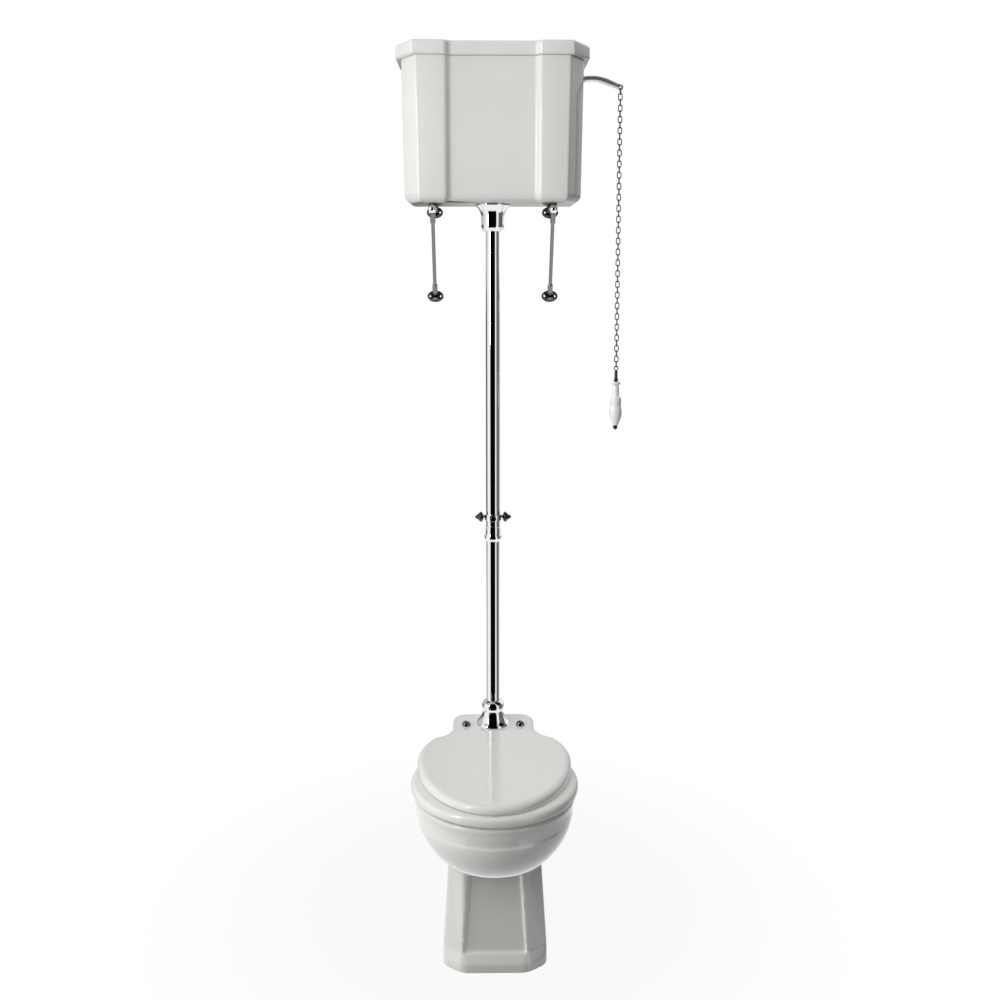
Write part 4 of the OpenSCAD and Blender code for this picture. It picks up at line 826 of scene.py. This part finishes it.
def makeCover(f, t):
    def within(over, inset):
        return f["low"] + over, tankPlan(t, t["halfHigh"], inset, inset)

    body = loft([(f["low"], tankPlan(f, f["half"])), (f["high"], tankPlan(f, f["half"]))])
    rounded(body, f["edgeRadius"], 5, uprightInFront)
    rounded(body, f["topRadius"], 6, levelAt(f["high"], False))
    rounded(body, f["underRadius"], 3, levelAt(f["low"], False))
    lip = loft([within(over, inset) for over, inset in zip((-f["lipDrop"], f["lipUp"]), f["lipIn"])])
    hollow = loft([within(over, inset) for over, inset in f["hollow"]])
    cover = meshObject("cistern_cover_casting", body)
    joined(cover, rounded(lip, f["lipRadius"], 4, upright), "UNION")
    return joined(cover, rounded(hollow, f["hollowRadius"], 4, upright), "DIFFERENCE")


def eased(points, times):
    # cuts each corner of a line over and over; a point given twice stays sharper
    for _ in range(times):
        cut = [points[0]]
        for a, b in zip(points, points[1:]):
            cut += [(a[0] * u + b[0] * (1 - u), a[1] * u + b[1] * (1 - u)) for u in (0.75, 0.25)]
        points = cut + [points[-1]]
    return points


def turned(profile, place, facing=None, closed=False, easing=2, steps=80):
    # a lathe: [radius, height] points turned about the upright, or about the axis that it then faces
    bm = bmesh.new()
    verts = [bm.verts.new((r * mm, 0, z * mm)) for r, z in eased(profile, easing)]
    edges = [bm.edges.new(pair) for pair in zip(verts, verts[1:])]
    if closed:
        edges.append(bm.edges.new((verts[-1], verts[0])))
    bmesh.ops.spin(bm, geom=verts + edges, cent=(0, 0, 0), axis=(0, 0, 1), angle=2 * math.pi, steps=steps,
                   use_merge=True)
    bmesh.ops.remove_doubles(bm, verts=bm.verts, dist=1e-6)
    bmesh.ops.dissolve_degenerate(bm, edges=bm.edges, dist=1e-6)
    bmesh.ops.recalc_face_normals(bm, faces=bm.faces)
    if facing:
        degrees, axis = facing
        bmesh.ops.rotate(bm, matrix=Matrix.Rotation(math.radians(degrees), 3, axis), verts=bm.verts)
    bmesh.ops.translate(bm, vec=spot(*place), verts=bm.verts)
    return bm


def together(parts):
    whole = bmesh.new()
    for part in parts:
        mesh = bpy.data.meshes.new("part")
        part.to_mesh(mesh)
        part.free()
        whole.from_mesh(mesh)
        bpy.data.meshes.remove(mesh)
    return whole


# turned metal of the flush pipe, each profile as [radius, height over its seat]
pipeForm = {
    "radius": 18, "bore": 16.3, "low": 362, "joint": 908, "clip": 961, "high": 1712,
    "shelf": 400.3, "tankUnder": 1753.7, "capSpan": 71.5, "capOff": 110,
    "bell": [(41, 0), (43, 0), (43, 0), (43, 3), (41, 6), (37.5, 10), (34, 15.5), (31, 22), (29, 28),
             (27.6, 34), (27.3, 38), (28.2, 41), (29.6, 44), (30.1, 48), (29.6, 52.5), (27.8, 57.5),
             (23.5, 62), (18.4, 65.4), (18.4, 66), (18.4, 63), (20.5, 60), (23.5, 55), (23.6, 30), (25, 22),
             (29, 14), (35, 7.5), (41, 1.5)],
    "nut": [(18.4, -66), (19, -66), (22.5, -64.6), (26.6, -60), (28.8, -54), (29.3, -46), (29.3, -30),
            (30, -23.5), (32.2, -17), (35.6, -11), (39.6, -6), (42.4, -3.2), (42.5, -1), (42.5, 0), (40.5, 0),
            (38.5, -3.5), (34.5, -8), (34.5, -11), (24.4, -11), (24.4, -50), (22.5, -50), (22.5, -58.5),
            (18.4, -58.5)],
    "socket": [(18, -18), (18.4, -11), (18.9, -8.5), (20.4, -6.4), (21.8, -3.4), (22.2, 0), (21.8, 3.4),
               (20.4, 6.4), (19.2, 8.5), (19, 12), (19, 26), (19.5, 28.5), (19.4, 30), (18.2, 30)],
    "finial": [(0, 17.6), (2.4, 17.6), (2.4, 24.8), (6.5, 24.8), (9, 26.4), (12.4, 28), (13.6, 30.6),
               (12.9, 33.6), (10, 36.6), (7, 39.4), (5.2, 42), (3.6, 45), (0, 47.4)],
    "screw": [(0, 17.6), (2.4, 17.6), (2.4, 24.8), (7, 24.8), (8.2, 26.5), (8.2, 29.5), (6.5, 31.5),
              (0, 32.5)],
    "cap": [(0, -8), (7.6, -8), (7.6, 0), (11.5, 0), (11.5, 0), (11.5, 2), (10.8, 5), (9, 8), (6, 10.2),
            (3, 11.2), (0, 11.5)]}


def makePipework(f):
    r, bore, under = f["radius"], f["bore"], f["joint"] - 11
    axis, clip = (0, pipeOff, 0), (0, pipeOff, f["clip"])
    upper = [(bore, under), (r, under), (r, f["high"]), (bore, f["high"])]
    bead = [(radius, f["joint"] + z) for radius, z in eased(f["socket"], 2)]
    lower = [(bore, f["low"]), (r, f["low"])] + bead + [(r + 0.2, under - 0.2), (bore, under - 0.2)]
    finials = [turned(f["finial"], clip, (side * 90, "Y")) for side in (-1, 1)]
    caps = [turned(f["cap"], (side * f["capSpan"], f["capOff"], f["shelf"]), easing=1) for side in (-1, 1)]
    for name, shape, finish, node in (
            ("bell", turned(f["bell"], (0, pipeOff, f["shelf"]), closed=True), "chrome", "bell_cover"),
            ("outlet_collar_nut", turned(f["nut"], (0, pipeOff, f["tankUnder"]), closed=True), "chrome",
             "outlet_nut"),
            ("upper_pipe", turned(upper, axis, closed=True, easing=0), "chrome", "upper_flush_pipe"),
            ("lower_pipe", turned(lower, axis, closed=True, easing=0), "chrome", "lower_flush_pipe"),
            # the finials and the front screw take a chrome with a painted dark reflection
            ("finials", together(finials), "fitting", "clip_finials"),
            ("front_screw", turned(f["screw"], clip, (90, "X")), "fitting", "clip_front_screw"),
            # the caps take a chrome with a painted dark reflection
            ("caps", together(caps), "strut", "shelf_hole_caps")):
        placed(meshObject(name, shape), "fixed", finish, node)


# pull: a bent lever whose elbow is drawn round, in [x, height] points, and the china grip at the
# chain's end
pullForm = {
    "pivot": (214.4, 2052), "rise": 8.1, "inner": 86, "step": (222, 225), "elbow": (255.9, 2057.9),
    "bend": 26, "outerArm": 60, "tip": (313.4, 2034.9), "thin": 6, "thick": 7.6, "tipRadius": 6.5,
    "innerEye": (8, 2), "tipEye": 2.3, "eyeHole": 3, "pivotHole": 2.05, "flat": 12, "gripTop": 1311.8,
    "grip": [(2.6, 0), (9.5, 0), (11.5, -0.8), (12, -3.5), (11, -6.5), (8, -8.4), (6.6, -10.5), (7.8, -13),
             (8.6, -17), (8.2, -22), (8.2, -32), (8.6, -37), (10.4, -39.5), (13.4, -41), (14, -44), (14, -56),
             (13.4, -59), (13.2, -60.5), (14.4, -65), (15.6, -73), (15.8, -81), (14.8, -89), (12.6, -97),
             (10, -104), (8, -109), (6.6, -112), (2.6, -112)]}


def makeLever(f):
    def onArm(x):
        return x, f["pivot"][1] + (x - f["pivot"][0]) * math.tan(math.radians(f["rise"]))

    inner, tip, elbow = onArm(f["inner"]), f["tip"], Vector(f["elbow"])
    bend = bentOver(Vector(onArm(f["elbow"][0] - f["bend"])), elbow,
                    elbow.lerp(Vector(tip), f["bend"] / f["outerArm"]), 12)
    path = [inner] + [onArm(x) for x in f["step"]] + bend + [tip]
    radii = [f["thin"]] * 2 + [f["thick"]] * (len(bend) + 1) + [f["tipRadius"]]
    lever = meshObject("bent_lever", bentBar([spot(x, pipeOff, z) for x, z in path], radii, 40))
    innerRadius, innerHalf = f["innerEye"]
    for (x, z), radius, half in ((inner, innerRadius, innerHalf), (tip, f["tipRadius"], f["tipEye"])):
        joined(lever, rod("off", radius, pipeOff - half, pipeOff + half, x, z, 96), "UNION")
    for (x, z), hole in ((inner, f["eyeHole"]), (tip, f["eyeHole"]), (f["pivot"], f["pivotHole"])):
        joined(lever, rod("off", hole, pipeOff - 20, pipeOff + 20, x, z, 96), "DIFFERENCE")
    # the flats on both sides of each eye
    flat = f["flat"]
    for (x, z), half, width, on in ((inner, innerHalf, flat, 0), (tip, f["tipEye"], 10.5, 5.5)):
        for low, high in ((-flat, -half), (half, flat)):
            cutter = block(x + on, width, pipeOff + low, pipeOff + high, z - flat, z + flat)
            joined(lever, cutter, "DIFFERENCE")
    return lever


pan = placed(makePan(panForm), "fixed", "china", *panForm["nodes"])
print("pan made:", len(pan.data.polygons), "faces")
seatRing, seatLid = makeSeat(seatForm)
placed(seatRing, "ring", "seat", "seat_ring")
placed(seatLid, "lid", "seat", "seat_lid")
print("seat made:", len(seatRing.data.polygons), "and", len(seatLid.data.polygons), "faces")
placed(makeTank(tankForm), "fixed", "china", "cistern_tank")
placed(makeCover(coverForm, tankForm), "cover", "china", "cistern_lid")
print("cistern made")
makePipework(pipeForm)
placed(makeLever(pullForm), "lever", "lever", "pull_lever")
grip = turned(pullForm["grip"], (pullForm["tip"][0], pipeOff, pullForm["gripTop"]), closed=True)
placed(meshObject("china_grip", grip), "pull", "handle", "pull_handle")
# the lower pipe mirrors the dark room, not the seat, as in the picture
hinges = [cadNodes[name] for name in ("hinge_bar", "seat_lid_hinges", "seat_ring_hinges")]
for piece in [pan, seatRing, seatLid] + hinges:
    piece.visible_glossy = False
print("pipework and pull made")
